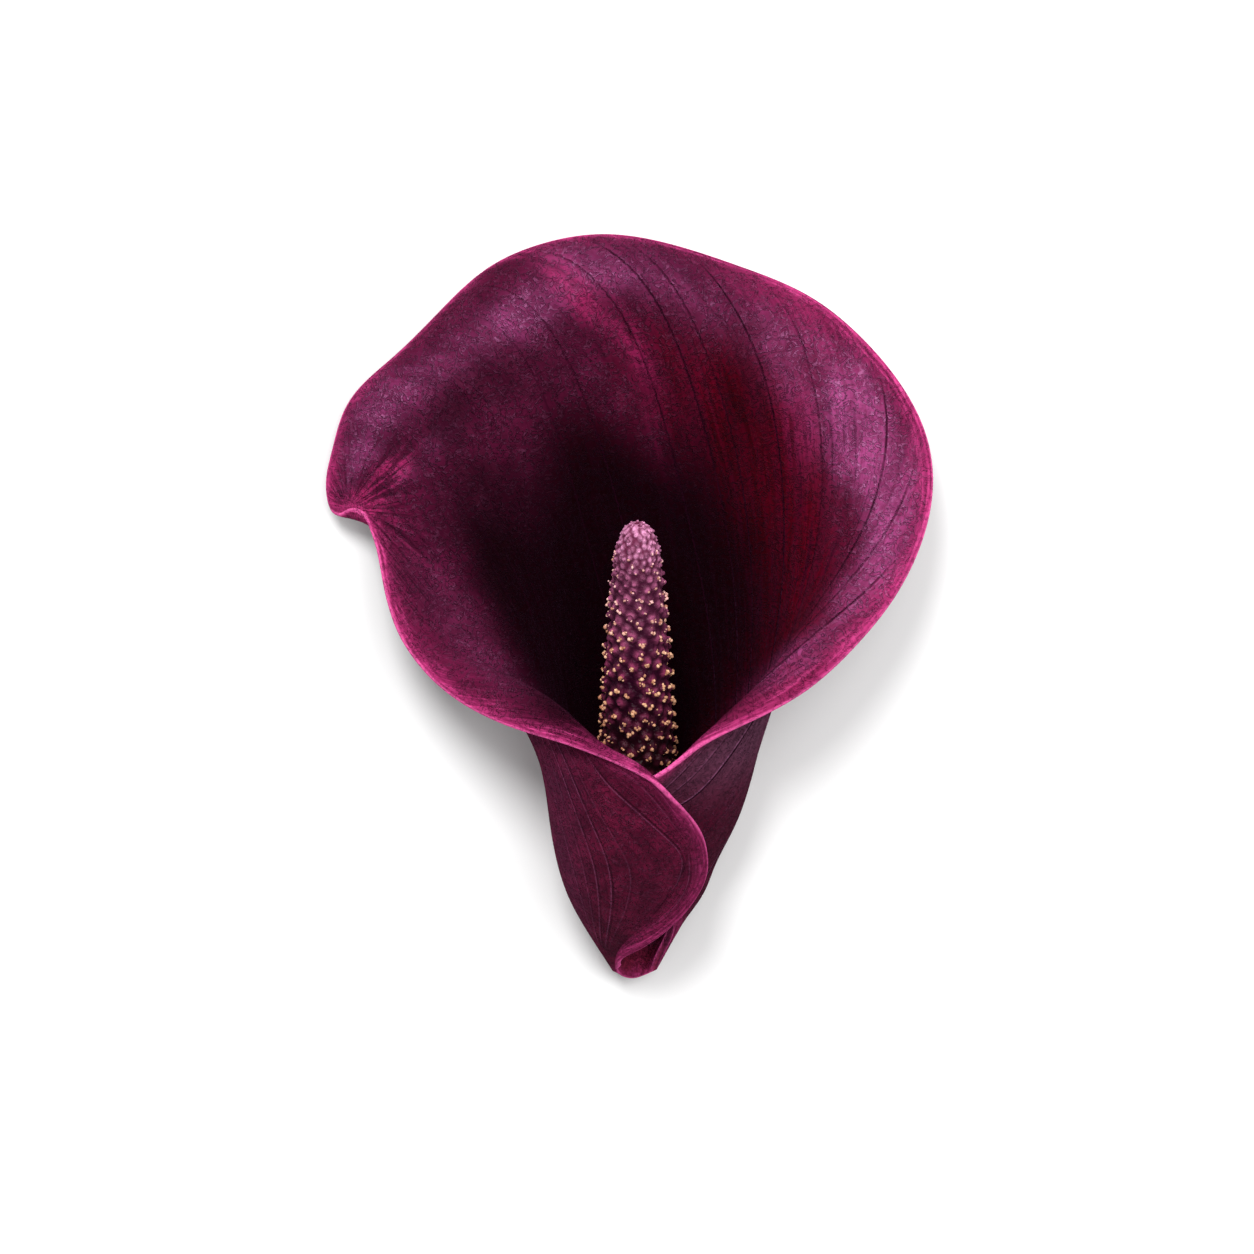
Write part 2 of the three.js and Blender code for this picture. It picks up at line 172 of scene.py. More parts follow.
# The main veins on each side of the midrib, numbered by how far they spread from it
RIGHT_VEINS = [
    0.1, 0.17, 0.22, 0.29, 0.38, 0.455, 0.6, 0.69, 0.75, 0.88, 1.03, 1.16, 1.3, 1.46, 1.64, 1.84, 2.06,
    2.3, 2.6,
]
LEFT_VEINS = [
    0.1, 0.2, 0.29, 0.37, 0.437, 0.49, 0.53, 0.572, 0.612, 0.66, 0.71, 0.77, 0.84, 0.92, 1.02, 1.15,
    1.3, 1.5, 1.75, 2.05, 2.4, 2.8,
]
WIDEST_SPREAD = 3.2
VEIN_LEAN = 0.66
RIGHT_LEAN_POWER = 1.5
LEFT_LEAN_POWER = 5
LOBE_MIDDLE = 0.56


def clamp(value, low=0.0, high=1.0):
    return min(high, max(low, value))


def smoothstep(value, low, high):
    part = np.clip((value - low) / (high - low), 0, 1)
    return part * part * (3 - 2 * part)


def smooth_curve(positions, values, at):
    """A natural cubic curve through values at rising positions, read at the places in at."""
    x = np.asarray(positions, float)
    y = np.asarray(values, float)
    count = len(x)
    flat = y.reshape(count, -1)
    span = np.diff(x)
    system = np.eye(count)
    load = np.zeros_like(flat)
    for i in range(1, count - 1):
        system[i, i - 1:i + 2] = span[i - 1], 2 * (span[i - 1] + span[i]), span[i]
        load[i] = 6 * ((flat[i + 1] - flat[i]) / span[i] - (flat[i] - flat[i - 1]) / span[i - 1])
    bend = np.linalg.solve(system, load)
    q = np.atleast_1d(np.asarray(at, float))
    i = np.clip(np.searchsorted(x, q, side="right") - 1, 0, count - 2)
    d = span[i][:, None]
    a = (x[i + 1] - q)[:, None] / d
    b = (q - x[i])[:, None] / d
    result = a * flat[i] + b * flat[i + 1] + ((a**3 - a) * bend[i] + (b**3 - b) * bend[i + 1]) * d * d / 6
    return result.reshape((len(q),) + y.shape[1:])


def edge_angle(edge, ends, height):
    """The angle of a free edge at a height."""
    points = sorted(ends + edge)
    return float(np.interp(height, [p[0] for p in points], [p[1] for p in points]))


def outer_edge(height):
    low = FOOT_EDGE_HEIGHT - TONGUE_LENGTH
    return edge_angle(OUTER_EDGE, [(low, FOOT_OUTER_ANGLE), (FOOT_EDGE_HEIGHT, FOOT_OUTER_ANGLE)], height)


def inner_edge(height):
    low = FOOT_EDGE_HEIGHT - TONGUE_LENGTH
    ends = [(low, FOOT_INNER_ANGLE + INNER_FOOT_FLARE), (INNER_FOOT_HEIGHT, FOOT_INNER_ANGLE)]
    return edge_angle(INNER_EDGE, ends, height)


def around(angle, middle):
    """How strongly a swell centred on one angle acts at another."""
    return math.cos(math.radians(min(90, abs(angle - middle) * 90 / SWELL_REACH))) ** 2


def tube_centre(height):
    """Middle of the tube at heights along its axis."""
    height = np.asarray(height, float)
    bend = FOOT_BEND * np.clip((3 - height) / 5, 0, 1)
    return FOOT + height[..., None] * AXIS + (AXIS_DRIFT * height + bend)[..., None] * RIGHT


def tube_point(angle, height):
    """A point of the rolled tube."""
    opening = clamp(height / 8, 0.45, 1)
    tuck_from, tuck_to = TUCK_ANGLES
    tuck = INNER_TUCK * smoothstep(tuck_from - angle, 0, tuck_from - tuck_to)
    heights, radii = zip(*TUBE_PROFILE)
    radius = smooth_curve(heights, radii, height)[0] + opening * (SPIRAL_GAP * (angle - 180) / 360 - tuck)
    swell = clamp((height - 6) / 6) * clamp((26 - height) / 8)
    radius += SIDE_FULLNESS * around(angle, SIDE_FULLNESS_ANGLE) * swell
    radius -= LEFT_HOLLOW * around(angle, LEFT_HOLLOW_ANGLE) * clamp((height - 18) / 12)
    turn = math.radians(angle)
    return tube_centre(height) + radius * (FRONT * math.cos(turn) + RIGHT * math.sin(turn))


def foot_height(angle):
    return FOOT_EDGE_HEIGHT - TONGUE_LENGTH * math.cos(math.radians((angle - TONGUE_ANGLE) * TONGUE_SPREAD))


def foot_angle(share):
    return FOOT_INNER_ANGLE + share * (FOOT_OUTER_ANGLE - FOOT_INNER_ANGLE)


def share_at(angle):
    """Share of the way from the inner edge (0) to the outer edge (1)."""
    inner, outer = WIDEST_ANGLES
    return (angle - inner) / (outer - inner)


# Where the seven guide points of a column lie: as shares of it on a free edge, else as heights in the tube
EDGE_STEPS = [0, 0.1, 0.29, 0.57, 0.8, 0.92, 1]

# How straight the columns run that end on a free edge: 1 straight, 0 along the edge
OUTER_STRAIGHTNESS = [1, 1, 1, 0.9, 0.75, 0.6, 0.45, 0.35, 0.29, 0.26, 0.25]
INNER_STRAIGHTNESS = [0.28, 0.12, 0.03, 0]

TUBE_HEIGHTS = (3.3, 10, 20)
BACK_RISE = 2


def edge_column(angle, height, base_angle, mix, edge, base_shift):
    """Seven guide points, foot to margin, for a column that ends on a free edge."""
    base = foot_height(base_angle)
    column = []
    for step in EDGE_STEPS:
        level = base + (height - base) * step
        along = edge(level) + base_shift * (1 - step)
        straight = base_angle + (angle - base_angle) * step
        column.append(tube_point(along * (1 - mix) + straight * mix, level))
    return column


def rim_column(x, y, z, bend_x, bend_y, bend_z, angle, height):
    """Seven guide points for a column that ends on the flared margin."""
    share = share_at(angle)
    back = (1 - math.cos(math.radians(angle))) / 2
    low, middle, high = TUBE_HEIGHTS
    column = []
    for level in (foot_height(foot_angle(share)), low, middle, high + BACK_RISE * back):
        start = inner_edge(level)
        column.append(tube_point(start + share * (outer_edge(level) - start), level))
    column.append(tube_point(angle, height))
    column.append(np.array([bend_x, bend_y, bend_z]))
    column.append(np.array([x, y, z]))
    return column


def guide_columns():
    columns = []
    outer_share = share_at(RIM[0][6])
    for i, (height, angle) in enumerate(OUTER_EDGE):
        base_angle = foot_angle(1 + (outer_share - 1) * i / len(OUTER_EDGE))
        mix = OUTER_STRAIGHTNESS[i]
        shift = base_angle - FOOT_OUTER_ANGLE
        columns.append(edge_column(angle, height, base_angle, mix, outer_edge, shift))
    for entry in RIM:
        columns.append(rim_column(*entry))
    inner_share = share_at(RIM[-1][6])
    upper_edge = [place for place in reversed(INNER_EDGE) if place[0] >= INNER_COLUMN_HEIGHT]
    for i, (height, angle) in enumerate(upper_edge):
        base_angle = foot_angle(inner_share * (1 - (i + 1) / len(upper_edge)))
        mix = INNER_STRAIGHTNESS[i]
        shift = base_angle - FOOT_INNER_ANGLE
        columns.append(edge_column(angle, height, base_angle, mix, inner_edge, shift))
    return np.array(columns)


def guide_weights(places):
    """Weights of the seven guide points at places between foot (0) and margin (1)."""
    knots = np.array([0, 0, 0, 0, 0.25, 0.5, 0.75, 1, 1, 1, 1])
    at = np.clip(places, 0, 1 - 1e-9)[:, None]
    weights = ((knots[:-1] <= at) & (at < knots[1:])).astype(float)
    for degree in (1, 2, 3):
        count = weights.shape[1] - 1
        rise = knots[degree:degree + count] - knots[:count]
        fall = knots[degree + 1:degree + 1 + count] - knots[1:1 + count]
        end = knots[degree + 1:degree + 1 + count]
        up = np.where(rise > 0, (at - knots[:count]) / np.where(rise > 0, rise, 1), 0)
        down = np.where(fall > 0, (end - at) / np.where(fall > 0, fall, 1), 0)
        weights = up * weights[:, :-1] + down * weights[:, 1:]
    return weights


def lay_turn():
    """The turn that lays the flower on its back."""
    return Matrix.Rotation(math.radians(LAY_ROLL), 3, "Y") @ Matrix.Rotation(math.radians(LAY_TILT), 3, "X")


def laid(points):
    """Points turned from the flower's own frame onto its back, in millimetres, not yet moved."""
    return np.asarray(points, float) @ np.array(lay_turn()).T


def axis_point(height, shift=0.0, back=0.0):
    return FOOT + AXIS * height + RIGHT * shift - FRONT * back


def ring(centre, radius, sides):
    turns = np.arange(sides) * 2 * math.pi / sides
    return centre + radius * (np.cos(turns)[:, None] * RIGHT + np.sin(turns)[:, None] * FRONT)


def frame_shift():
    """How far the laid flower moves to stand where the CAD spike stands, in millimetres."""
    rings = [ring(axis_point(h, SPADIX_SHIFT), r, 24) for h, r in SPADIX_PROFILE]
    points = laid(np.concatenate(rings + [[axis_point(SPADIX_TIP, SPADIX_SHIFT)]]))
    low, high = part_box("spadix")
    middle = (np.array(low) + np.array(high)) / 2 / MM
    return middle - (points.min(0) + points.max(0)) / 2


SHIFT = frame_shift()


def lay(points):
    """Points from the flower's own frame to the row frame, in metres."""
    return (laid(points) + SHIFT) * MM


def new_piece(name, mesh, material):
    piece = bpy.data.objects.new(name, mesh)
    bpy.context.scene.collection.objects.link(piece)
    mesh.materials.append(material)
    mesh.shade_smooth()
    return piece


def closed_loft(name, rings):
    """A closed mesh through rings of points, in the order that they are given."""
    mesh = bpy.data.meshes.new(name)
    shape = bmesh.new()
    rows = [[shape.verts.new(point) for point in points] for points in rings]
    sides = len(rows[0])
    for low, high in zip(rows, rows[1:]):
        for k in range(sides):
            following = (k + 1) % sides
            shape.faces.new((low[k], low[following], high[following], high[k]))
    shape.faces.new(list(reversed(rows[0])))
    shape.faces.new(rows[-1])
    bmesh.ops.recalc_face_normals(shape, faces=shape.faces)
    shape.to_mesh(mesh)
    shape.free()
    return mesh


def add_attribute(mesh, name, values):
    attribute = mesh.attributes.new(name, "FLOAT", "POINT")
    attribute.data.foreach_set("value", np.asarray(values, np.float32).ravel())


# Sheet


def vein_number(spread):
    """Numbers that are whole on the main veins, rising to the right and falling to the left."""
    right_ends = [0.0] + RIGHT_VEINS + [WIDEST_SPREAD]
    left_ends = [0.0] + LEFT_VEINS + [WIDEST_SPREAD]
    right = np.interp(spread, right_ends, np.arange(len(right_ends)))
    left = -np.interp(-spread, left_ends, np.arange(len(left_ends)))
    return np.where(spread > 0, right, left)


def vein_side(spread, place):
    """Where a vein crosses a row: -1 at the outer free edge, 0 at the tip, 1 at the inner free edge."""
    right = spread * (1 - VEIN_LEAN * place**RIGHT_LEAN_POWER)
    gather = LOBE_MIDDLE * smoothstep(-spread, 0.1, 0.45)
    opened = 0.4 + 0.6 * min(1.0, place / 0.7)
    left = ((spread + gather) * opened - gather) * (1 - VEIN_LEAN * place**LEFT_LEAN_POWER)
    return np.where(spread > 0, right, left)


# Columns near each end of the sheet that follow the shape of the tube, and how much the tube widens there
END_COLUMNS = 45
TUBE_FLARE = 0.5

# Share of evenness in the spacing of the columns, the rest goes by the stations of the margin
EVENNESS = 0.65

# Rows close to the margin, which round it off
LAST_BODY_PLACE = 0.985
MARGIN_PLACES = [0.989, 0.993, 0.996, 0.998, 0.9993, 1.0]

# Rounds of smoothing the sheet's directions, and the cosine below which one is astray
STEADY_ROUNDS = 4
STEADY_COSINE = 0.97


class Sheet:
    """The middle layer of the petal sheet as a grid of points, with what its colours follow."""

    def __init__(self, columns, rows):
        guides = guide_columns()
        margin = guides[:, 6]
        steps = np.linalg.norm(np.diff(margin, axis=0), axis=1)
        along = np.concatenate([[0], np.cumsum(steps)])
        evenly = along / along[-1]
        by_station = np.arange(len(along)) / (len(along) - 1)
        pace = EVENNESS * evenly + (1 - EVENNESS) * by_station
        self.stops = np.interp(np.linspace(0, 1, columns), pace, along)
        self.places = self.row_places(rows)
        net = smooth_curve(along, guides, self.stops)
        self.points = np.einsum("rk,ckx->crx", guide_weights(self.places), net)
        self.tip = along[len(OUTER_EDGE) + TIP_STATION]
        self.length = along[-1]
        self.normals = self.steady_normals()
        row_steps = np.linalg.norm(np.diff(self.points, axis=1), axis=2)
        self.climb = np.concatenate([np.zeros((columns, 1)), np.cumsum(row_steps, axis=1)], axis=1)

    def steady_normals(self):
        """Directions towards the inner skin, kept smooth where columns crowd at the foot and the overlap."""
        normals = np.cross(np.gradient(self.points, axis=0), np.gradient(self.points, axis=1))
        normals /= np.linalg.norm(normals, axis=2, keepdims=True) + 1e-12
        near_end = np.zeros(len(normals))
        near_end[:END_COLUMNS] = 1 - smoothstep(np.arange(END_COLUMNS), END_COLUMNS / 3, END_COLUMNS)
        near_end[-END_COLUMNS:] = near_end[:END_COLUMNS][::-1]
        weight = near_end[:, None, None]
        normals = normals * (1 - weight) + inward_directions(self.points) * weight
        for _ in range(STEADY_ROUNDS):
            nearby = normals.copy()
            for axis in (0, 1):
                padded = np.concatenate([nearby.take([0], axis), nearby, nearby.take([-1], axis)], axis)
                spots = np.arange(nearby.shape[axis])
                nearby = sum(padded.take(spots + k, axis) for k in range(3)) / 3
            nearby /= np.linalg.norm(nearby, axis=2, keepdims=True) + 1e-12
            astray = (normals * nearby).sum(2) < STEADY_COSINE
            normals[astray] = nearby[astray]
        return normals / np.linalg.norm(normals, axis=2, keepdims=True)

    @staticmethod
    def row_places(rows):
        """Rows from foot to margin, with a few close ones at the margin to round it."""
        body = np.linspace(0, LAST_BODY_PLACE, rows - len(MARGIN_PLACES))
        return np.concatenate([body, MARGIN_PLACES])

    def side(self):
        """-1 at the free edge of the outer lobe, 0 at the tip, 1 at the free edge of the inner flap."""
        lower = [tube_point(angle, height) for height, angle in INNER_EDGE if height <= INNER_COLUMN_HEIGHT]
        lead = np.linalg.norm(np.diff(lower, axis=0), axis=1).sum()
        left = (self.stops - self.tip) / self.tip
        right = (self.stops - self.tip) / (self.length + lead - self.tip)
        return np.where(self.stops < self.tip, left, right)

    def vein(self):
        """A number that is the same along each vein and whole on each main vein."""
        spread = np.linspace(-WIDEST_SPREAD, WIDEST_SPREAD, 801)
        number = vein_number(spread)
        side = self.side()
        crossings = [np.interp(side, vein_side(spread, place), number) for place in self.places]
        return np.stack(crossings, axis=1)

    def to_margin(self):
        """Distance from the nearest free edge, in millimetres."""
        margin = self.points[:, -1]
        last = len(margin)
        distance = np.empty(self.climb.shape)
        for column in range(last):
            border = [margin[max(0, column - END_COLUMNS):column + END_COLUMNS]]
            if column < END_COLUMNS:
                border.append(self.points[0])
            if column >= last - END_COLUMNS:
                border.append(self.points[-1])
            distance[column] = np.min([line_distance(self.points[column], line) for line in border], axis=0)
        return distance


def line_distance(points, line):
    """Distance from each point to a line through a row of points."""
    start = line[:-1]
    step = line[1:] - start
    away = points[:, None] - start
    along = np.clip((away * step).sum(2) / np.maximum((step * step).sum(1), 1e-12), 0, 1)
    return np.linalg.norm(away - along[..., None] * step, axis=2).min(axis=1)


def inward_directions(points):
    """Directions from the wall of the rolled tube towards its axis."""
    off = points - tube_centre((points - FOOT) @ AXIS)
    inward = TUBE_FLARE * AXIS - off / np.linalg.norm(off, axis=-1, keepdims=True)
    return inward / np.linalg.norm(inward, axis=-1, keepdims=True)


def skin_offset(sheet, thickness, margin_thickness):
    """Half the thickness at each point, rounded off at the margin."""
    place = sheet.places[None, :]
    full = thickness + (margin_thickness - thickness) * place**4
    reach = np.minimum(sheet.to_margin(), sheet.climb)
    rounding = np.clip(reach / (margin_thickness * 0.5), 0, 1)
    rounded = np.sqrt(np.clip(1 - (1 - rounding) ** 2, 0.0, 1))
    return 0.5 * full * np.maximum(rounded, 0.12)


def soft_patch(points, x, y, length, width, angle):
    """1 at the middle of a soft oval seen from the front of the flower, 0 outside it."""
    turn = math.radians(angle)
    dx = points[..., 0] - x
    dy = points[..., 1] - y
    along = (dx * math.cos(turn) + dy * math.sin(turn)) / length
    across = (dy * math.cos(turn) - dx * math.sin(turn)) / width
    return np.exp(-((along**2 + across**2) ** 1.5))


# Where the inner skin is tinted, seen from the front: (x, y, length, width, angle, amount)
PINK_PATCHES = [
    (-6.0, 41.5, 6.0, 2.0, -46, 0.55),
    (0.5, 35.5, 7.0, 1.6, -60, 0.35),
    (3.5, 24.0, 9.0, 1.6, -70, 0.15),
    (-30.3, 18.4, 5.5, 1.4, 46, 0.8),
    (-33.0, 15.2, 4.0, 1.8, 40, 0.8),
    (-36.8, 18.0, 5.0, 1.0, 80, 0.6),
    (-27.5, 12.5, 6.0, 2.0, -65, 0.2),
    (16.5, 41.5, 8.0, 2.0, -25, 0.25),
    (23.0, 36.5, 7.0, 2.4, -50, 0.3),
    (30.5, 1.5, 10.0, 2.4, 55, 0.6),
    (22.0, 26.0, 6.0, 2.5, 85, 0.3),
    (17.0, -8.5, 7.0, 1.6, 35, 0.5),
    (-25.0, -2.0, 12.0, 2.6, -42, 0.12),
    (-14.0, -9.0, 9.0, 2.0, -28, 0.08),
]
# Painted sheen: lilac highlights on the ridges and lips inside, seen from the front: (x, y, length, width,
# angle, amount)
SHEEN_PATCHES = [
    (-31.0, 26.5, 8.0, 3.6, 45, 0.3),
    (-20.5, 34.5, 9.0, 2.8, 38, 0.19),
    (-12.5, 39.0, 6.0, 3.0, 30, 0.36),
    (-4.0, 44.5, 7.0, 2.4, -15, 0.36),
    (6.0, 42.5, 9.0, 3.2, -32, 0.14),
    (15.0, 38.5, 9.0, 4.0, -35, 0.1),
    (22.0, 32.0, 8.0, 4.5, -58, 0.36),
    (29.0, 24.0, 9.0, 4.2, -75, 0.98),
    (33.0, 12.5, 10.0, 3.0, 78, 0.75),
    (29.8, 25.5, 6.5, 1.8, -78, 0.7),
    (22.5, 22.0, 6.0, 1.5, -85, 0.06),
    (26.0, 12.0, 8.0, 1.5, -82, 0.06),
    (28.0, 3.5, 7.0, 2.4, 58, 0.36),
    (20.5, -4.5, 7.0, 1.8, 38, 0.5),
    (-23.0, 4.0, 10.0, 3.4, -55, 0.06),
    (-17.0, -5.0, 8.0, 2.2, -38, 0.08),
    (-33.5, 21.0, 5.0, 1.6, 62, 0.32),
    (-26.0, 21.0, 7.0, 1.8, 40, 0.12),
]
# Painted shade, deepest in the throat and on the walls that roll away, partly the throat's own dark colour:
# (x, y, length, width, angle, amount)
SHADE_PATCHES = [
    (1.0, -4.0, 21.0, 14.0, 90, 1.0),
    (-2.0, 14.0, 16.0, 8.0, -66, 0.8),
    (-13.0, 10.0, 12.0, 7.0, -45, 0.6),
    (9.5, 10.0, 18.0, 7.0, -84, 0.6),
    (17.0, 5.0, 14.0, 4.5, 85, 0.35),
    (-12.0, 1.0, 14.0, 4.6, -60, 0.7),
    (-19.0, 21.0, 9.0, 5.0, -20, 0.25),
    (-19.0, 29.0, 9.0, 3.5, 35, 0.35),
    (-9.0, 25.0, 10.0, 5.0, -55, 0.1),
    (15.0, 27.0, 9.0, 4.0, -75, 0.4),
]
RED_PATCHES = [
    (18.5, 8.0, 24.0, 9.5, 82, 1.0),
    (13.0, 26.0, 10.0, 8.0, -80, 0.9),
    (4.0, 32.0, 8.0, 6.0, -60, 0.5),
    (10.0, -6.0, 14.0, 8.0, 70, 1.0),
    (-2.0, 18.0, 10.0, 6.0, -66, 0.4),
]


def patches(points, patch_list):
    total = np.zeros(points.shape[:-1])
    for x, y, length, width, angle, amount in patch_list:
        total = 1 - (1 - total) * (1 - amount * soft_patch(points, x, y, length, width, angle))
    return total


# The notch beside the tip, where the fibres gather in a fan, and how far the fan reaches
NOTCH = (-34.8, 14.8)
FAN_PATCHES = [
    (-31.0, 17.5, 8.5, 5.5, 45, 1.0),
    (-30.0, 11.0, 6.0, 3.0, -35, 0.8),
]

# Fibres that stand out: at the notch, on the right wall and at the top
FIBRE_PATCHES = [
    (-31.0, 16.0, 8.0, 5.5, 40, 0.4),
    (-27.0, 8.0, 10.0, 4.0, -65, 0.7),
    (22.0, 12.0, 22.0, 8.0, 80, 0.8),
    (0.0, 34.0, 12.0, 6.0, -60, 0.6),
]

# Width of the bright band along the margin: (side, millimetres)
BAND_WIDTHS = [
    (-1.0, 1.2), (-0.88, 1.6), (-0.72, 1.5), (-0.6, 1.1), (-0.5, 1.2), (-0.3, 1.3), (-0.12, 1.1),
    (0.0, 0.9), (0.1, 0.8), (0.3, 0.9), (0.4, 1.5), (0.5, 1.6), (0.62, 1.4), (0.72, 1.2), (0.8, 1.0),
    (1.0, 1.0),
]


def band_width(sheet):
    """Width of the bright band along the margin at each column, in millimetres."""
    sides, widths = zip(*BAND_WIDTHS)
    return np.interp(sheet.side(), sides, widths)[:, None] + 0 * sheet.climb


def vein_gap(sheet, vein):
    """Distance on the sheet between one main vein and the next, in millimetres."""
    across = np.gradient(sheet.points, axis=0)
    up = np.gradient(sheet.points, axis=1)
    vein_across = np.gradient(vein, axis=0)
    vein_up = np.gradient(vein, axis=1)
    e = (across * across).sum(2)
    f = (across * up).sum(2)
    g = (up * up).sum(2)
    steepness = vein_across**2 * g - 2 * vein_across * vein_up * f + vein_up**2 * e
    slope = np.sqrt(np.maximum(steepness, 1e-12) / np.maximum(e * g - f * f, 1e-9))
    return np.clip(1 / slope, 0.2, 12)


def ribs(sheet, vein, depth):
    """How far the sheet swells between its veins, in millimetres."""
    fade = smoothstep(sheet.places, 0.35, 0.7) * (1 - smoothstep(sheet.places, 0.93, 1.0))
    gap = np.clip(vein_gap(sheet, vein) / 5, 0, 1)
    return -depth * fade[None, :] * gap * np.cos(2 * math.pi * vein)


def sheet_faces(columns, rows):
    """Faces of the outer skin, the inner skin and the strip around their edge."""
    outer = np.arange(columns * rows).reshape(columns, rows)
    inner = outer + columns * rows

    def quads(a, b, c, d):
        return np.stack([a.ravel(), b.ravel(), c.ravel(), d.ravel()], axis=1)

    return np.concatenate([
        quads(inner[:-1, :-1], inner[1:, :-1], inner[1:, 1:], inner[:-1, 1:]),
        quads(outer[:-1, :-1], outer[:-1, 1:], outer[1:, 1:], outer[1:, :-1]),
        quads(outer[:-1, 0], outer[1:, 0], inner[1:, 0], inner[:-1, 0]),
        quads(outer[:-1, -1], inner[:-1, -1], inner[1:, -1], outer[1:, -1]),
        quads(outer[0, :-1], inner[0, :-1], inner[0, 1:], outer[0, 1:]),
        quads(outer[-1, :-1], outer[-1, 1:], inner[-1, 1:], inner[-1, :-1]),
    ])


def vein_strength(sheet):
    """How clearly the veins show on the outer skin and on the inner skin."""
    side = sheet.side()[:, None] + 0 * sheet.climb
    places = sheet.places[None, :]
    upper = smoothstep(places, 0.3, 0.62) * (1 - smoothstep(places, 0.965, 0.995))
    past_midrib = smoothstep(np.abs(sheet.vein()), 3.4, 3.8)
    on_right = (0.4 + 0.6 * past_midrib) * (0.3 + 0.7 * smoothstep(side, 0.1, 0.3))
    inner = upper * np.where(side > 0, on_right, 0.16)
    lower = smoothstep(places, 0.05, 0.2) * (1 - smoothstep(places, 0.9, 0.98))
    outer = (0.7 + 0.6 * smoothstep(side, 0.5, 0.65)) * lower
    return [outer, inner]


def spathe_mesh(petal):
    sheet = Sheet(petal.columns, petal.rows)
    vein = sheet.vein()
    half = skin_offset(sheet, petal.thickness / MM, petal.margin_thickness / MM)[..., None]
    middle = sheet.points + sheet.normals * ribs(sheet, vein, petal.rib_depth / MM)[..., None]
    skins = [middle - sheet.normals * half, middle + sheet.normals * half]
    mesh = bpy.data.meshes.new("spathe")
    vertices = lay(np.concatenate([skin.reshape(-1, 3) for skin in skins]))
    mesh.from_pydata(vertices.tolist(), [], sheet_faces(petal.columns, petal.rows).tolist())

    def both(values):
        return np.concatenate([np.ravel(values), np.ravel(values)])

    flat = np.zeros_like(sheet.climb)
    from_notch = sheet.points[..., :2] - NOTCH
    shared = {
        "edge": sheet.to_margin(),
        "foot": sheet.climb,
        "vein": vein,
        "gap": vein_gap(sheet, vein),
        "band": band_width(sheet),
        "side": flat + sheet.side()[:, None],
        "pink": patches(sheet.points, PINK_PATCHES),
        "bloom": patches(sheet.points, SHEEN_PATCHES),
        "painted_shade": patches(sheet.points, SHADE_PATCHES),
        "red": patches(sheet.points, RED_PATCHES),
        "fibrous": patches(sheet.points, FIBRE_PATCHES),
        "notch": patches(sheet.points, FAN_PATCHES),
        "fan_angle": np.arctan2(-from_notch[..., 1], -from_notch[..., 0]) % (2 * math.pi),
        "fan_reach": np.linalg.norm(from_notch, axis=-1),
    }
    for name, values in shared.items():
        add_attribute(mesh, name, both(values))
    add_attribute(mesh, "skin", np.concatenate([np.ravel(flat), np.ravel(flat + 1)]))
    add_attribute(mesh, "strength", np.concatenate([np.ravel(part) for part in vein_strength(sheet)]))
    add_fibre_map(mesh, np.stack([both(vein), both(sheet.climb)], axis=1))
    return mesh


def add_fibre_map(mesh, places):
    """A UV map that runs across the fibres in veins and along them in millimetres."""
    layer = mesh.uv_layers.new(name="fibre")
    corner = np.empty(len(mesh.loops), int)
    mesh.loops.foreach_get("vertex_index", corner)
    layer.data.foreach_set("uv", places[corner].astype(np.float32).ravel())


# Materials

COAT_ROUGHNESS = 0.32
SHEEN_ROUGHNESS = 0.5

# How fine the textures of the petal are, in lumps to a metre
BLOTCH_SCALE = 260
SPECK_SCALE = 1700
GRAIN_SCALE = 4200
CURL_SCALE = 900
VEIN_BREAK_SCALE = 220
VEIN_BEAD_SCALE = 2000

# How fine the stretched textures are: lumps to a unit across the fibres, and to a millimetre along them
THREAD_STRETCH = (7, 0.12, 1)
STREAK_STRETCH = (2.2, 0.05, 1)
FAN_STRETCH = (8, 0.12, 1)
MARGIN_STRETCH = (22, 2.4, 1)

# Half widths of the main and fine veins, and the painted highlight line beside a main vein, in millimetres
VEIN_HALF_WIDTH = 0.2
FINE_VEIN_HALF_WIDTH = 0.12
HIGHLIGHT_LINE_OFFSET = 0.24
HIGHLIGHT_LINE_HALF_WIDTH = 0.14


class Bench:
    """Adds nodes to a node tree, and each call gives back the node or the socket that it makes."""

    def __init__(self, tree):
        self.tree = tree

    def plug(self, socket, value):
        if isinstance(value, bpy.types.NodeSocket):
            self.tree.links.new(value, socket)
        elif socket.type == "RGBA":
            socket.default_value = (*value, 1.0)
        else:
            socket.default_value = value

    def node(self, kind, settings=None, **inputs):
        made = self.tree.nodes.new(kind)
        for key, value in (settings or {}).items():
            setattr(made, key, value)
        for key, value in inputs.items():
            self.plug(made.inputs[key.replace("_", " ")], value)
        return made

    def math(self, operation, a, b=0.0):
        made = self.node("ShaderNodeMath", {"operation": operation})
        self.plug(made.inputs[0], a)
        self.plug(made.inputs[1], b)
        return made.outputs[0]

    def times(self, first, *others):
        for other in others:
            first = self.math("MULTIPLY", first, other)
        return first

    def joined(self, x, y, z=0.0):
        return self.node("ShaderNodeCombineXYZ", None, X=x, Y=y, Z=z).outputs[0]


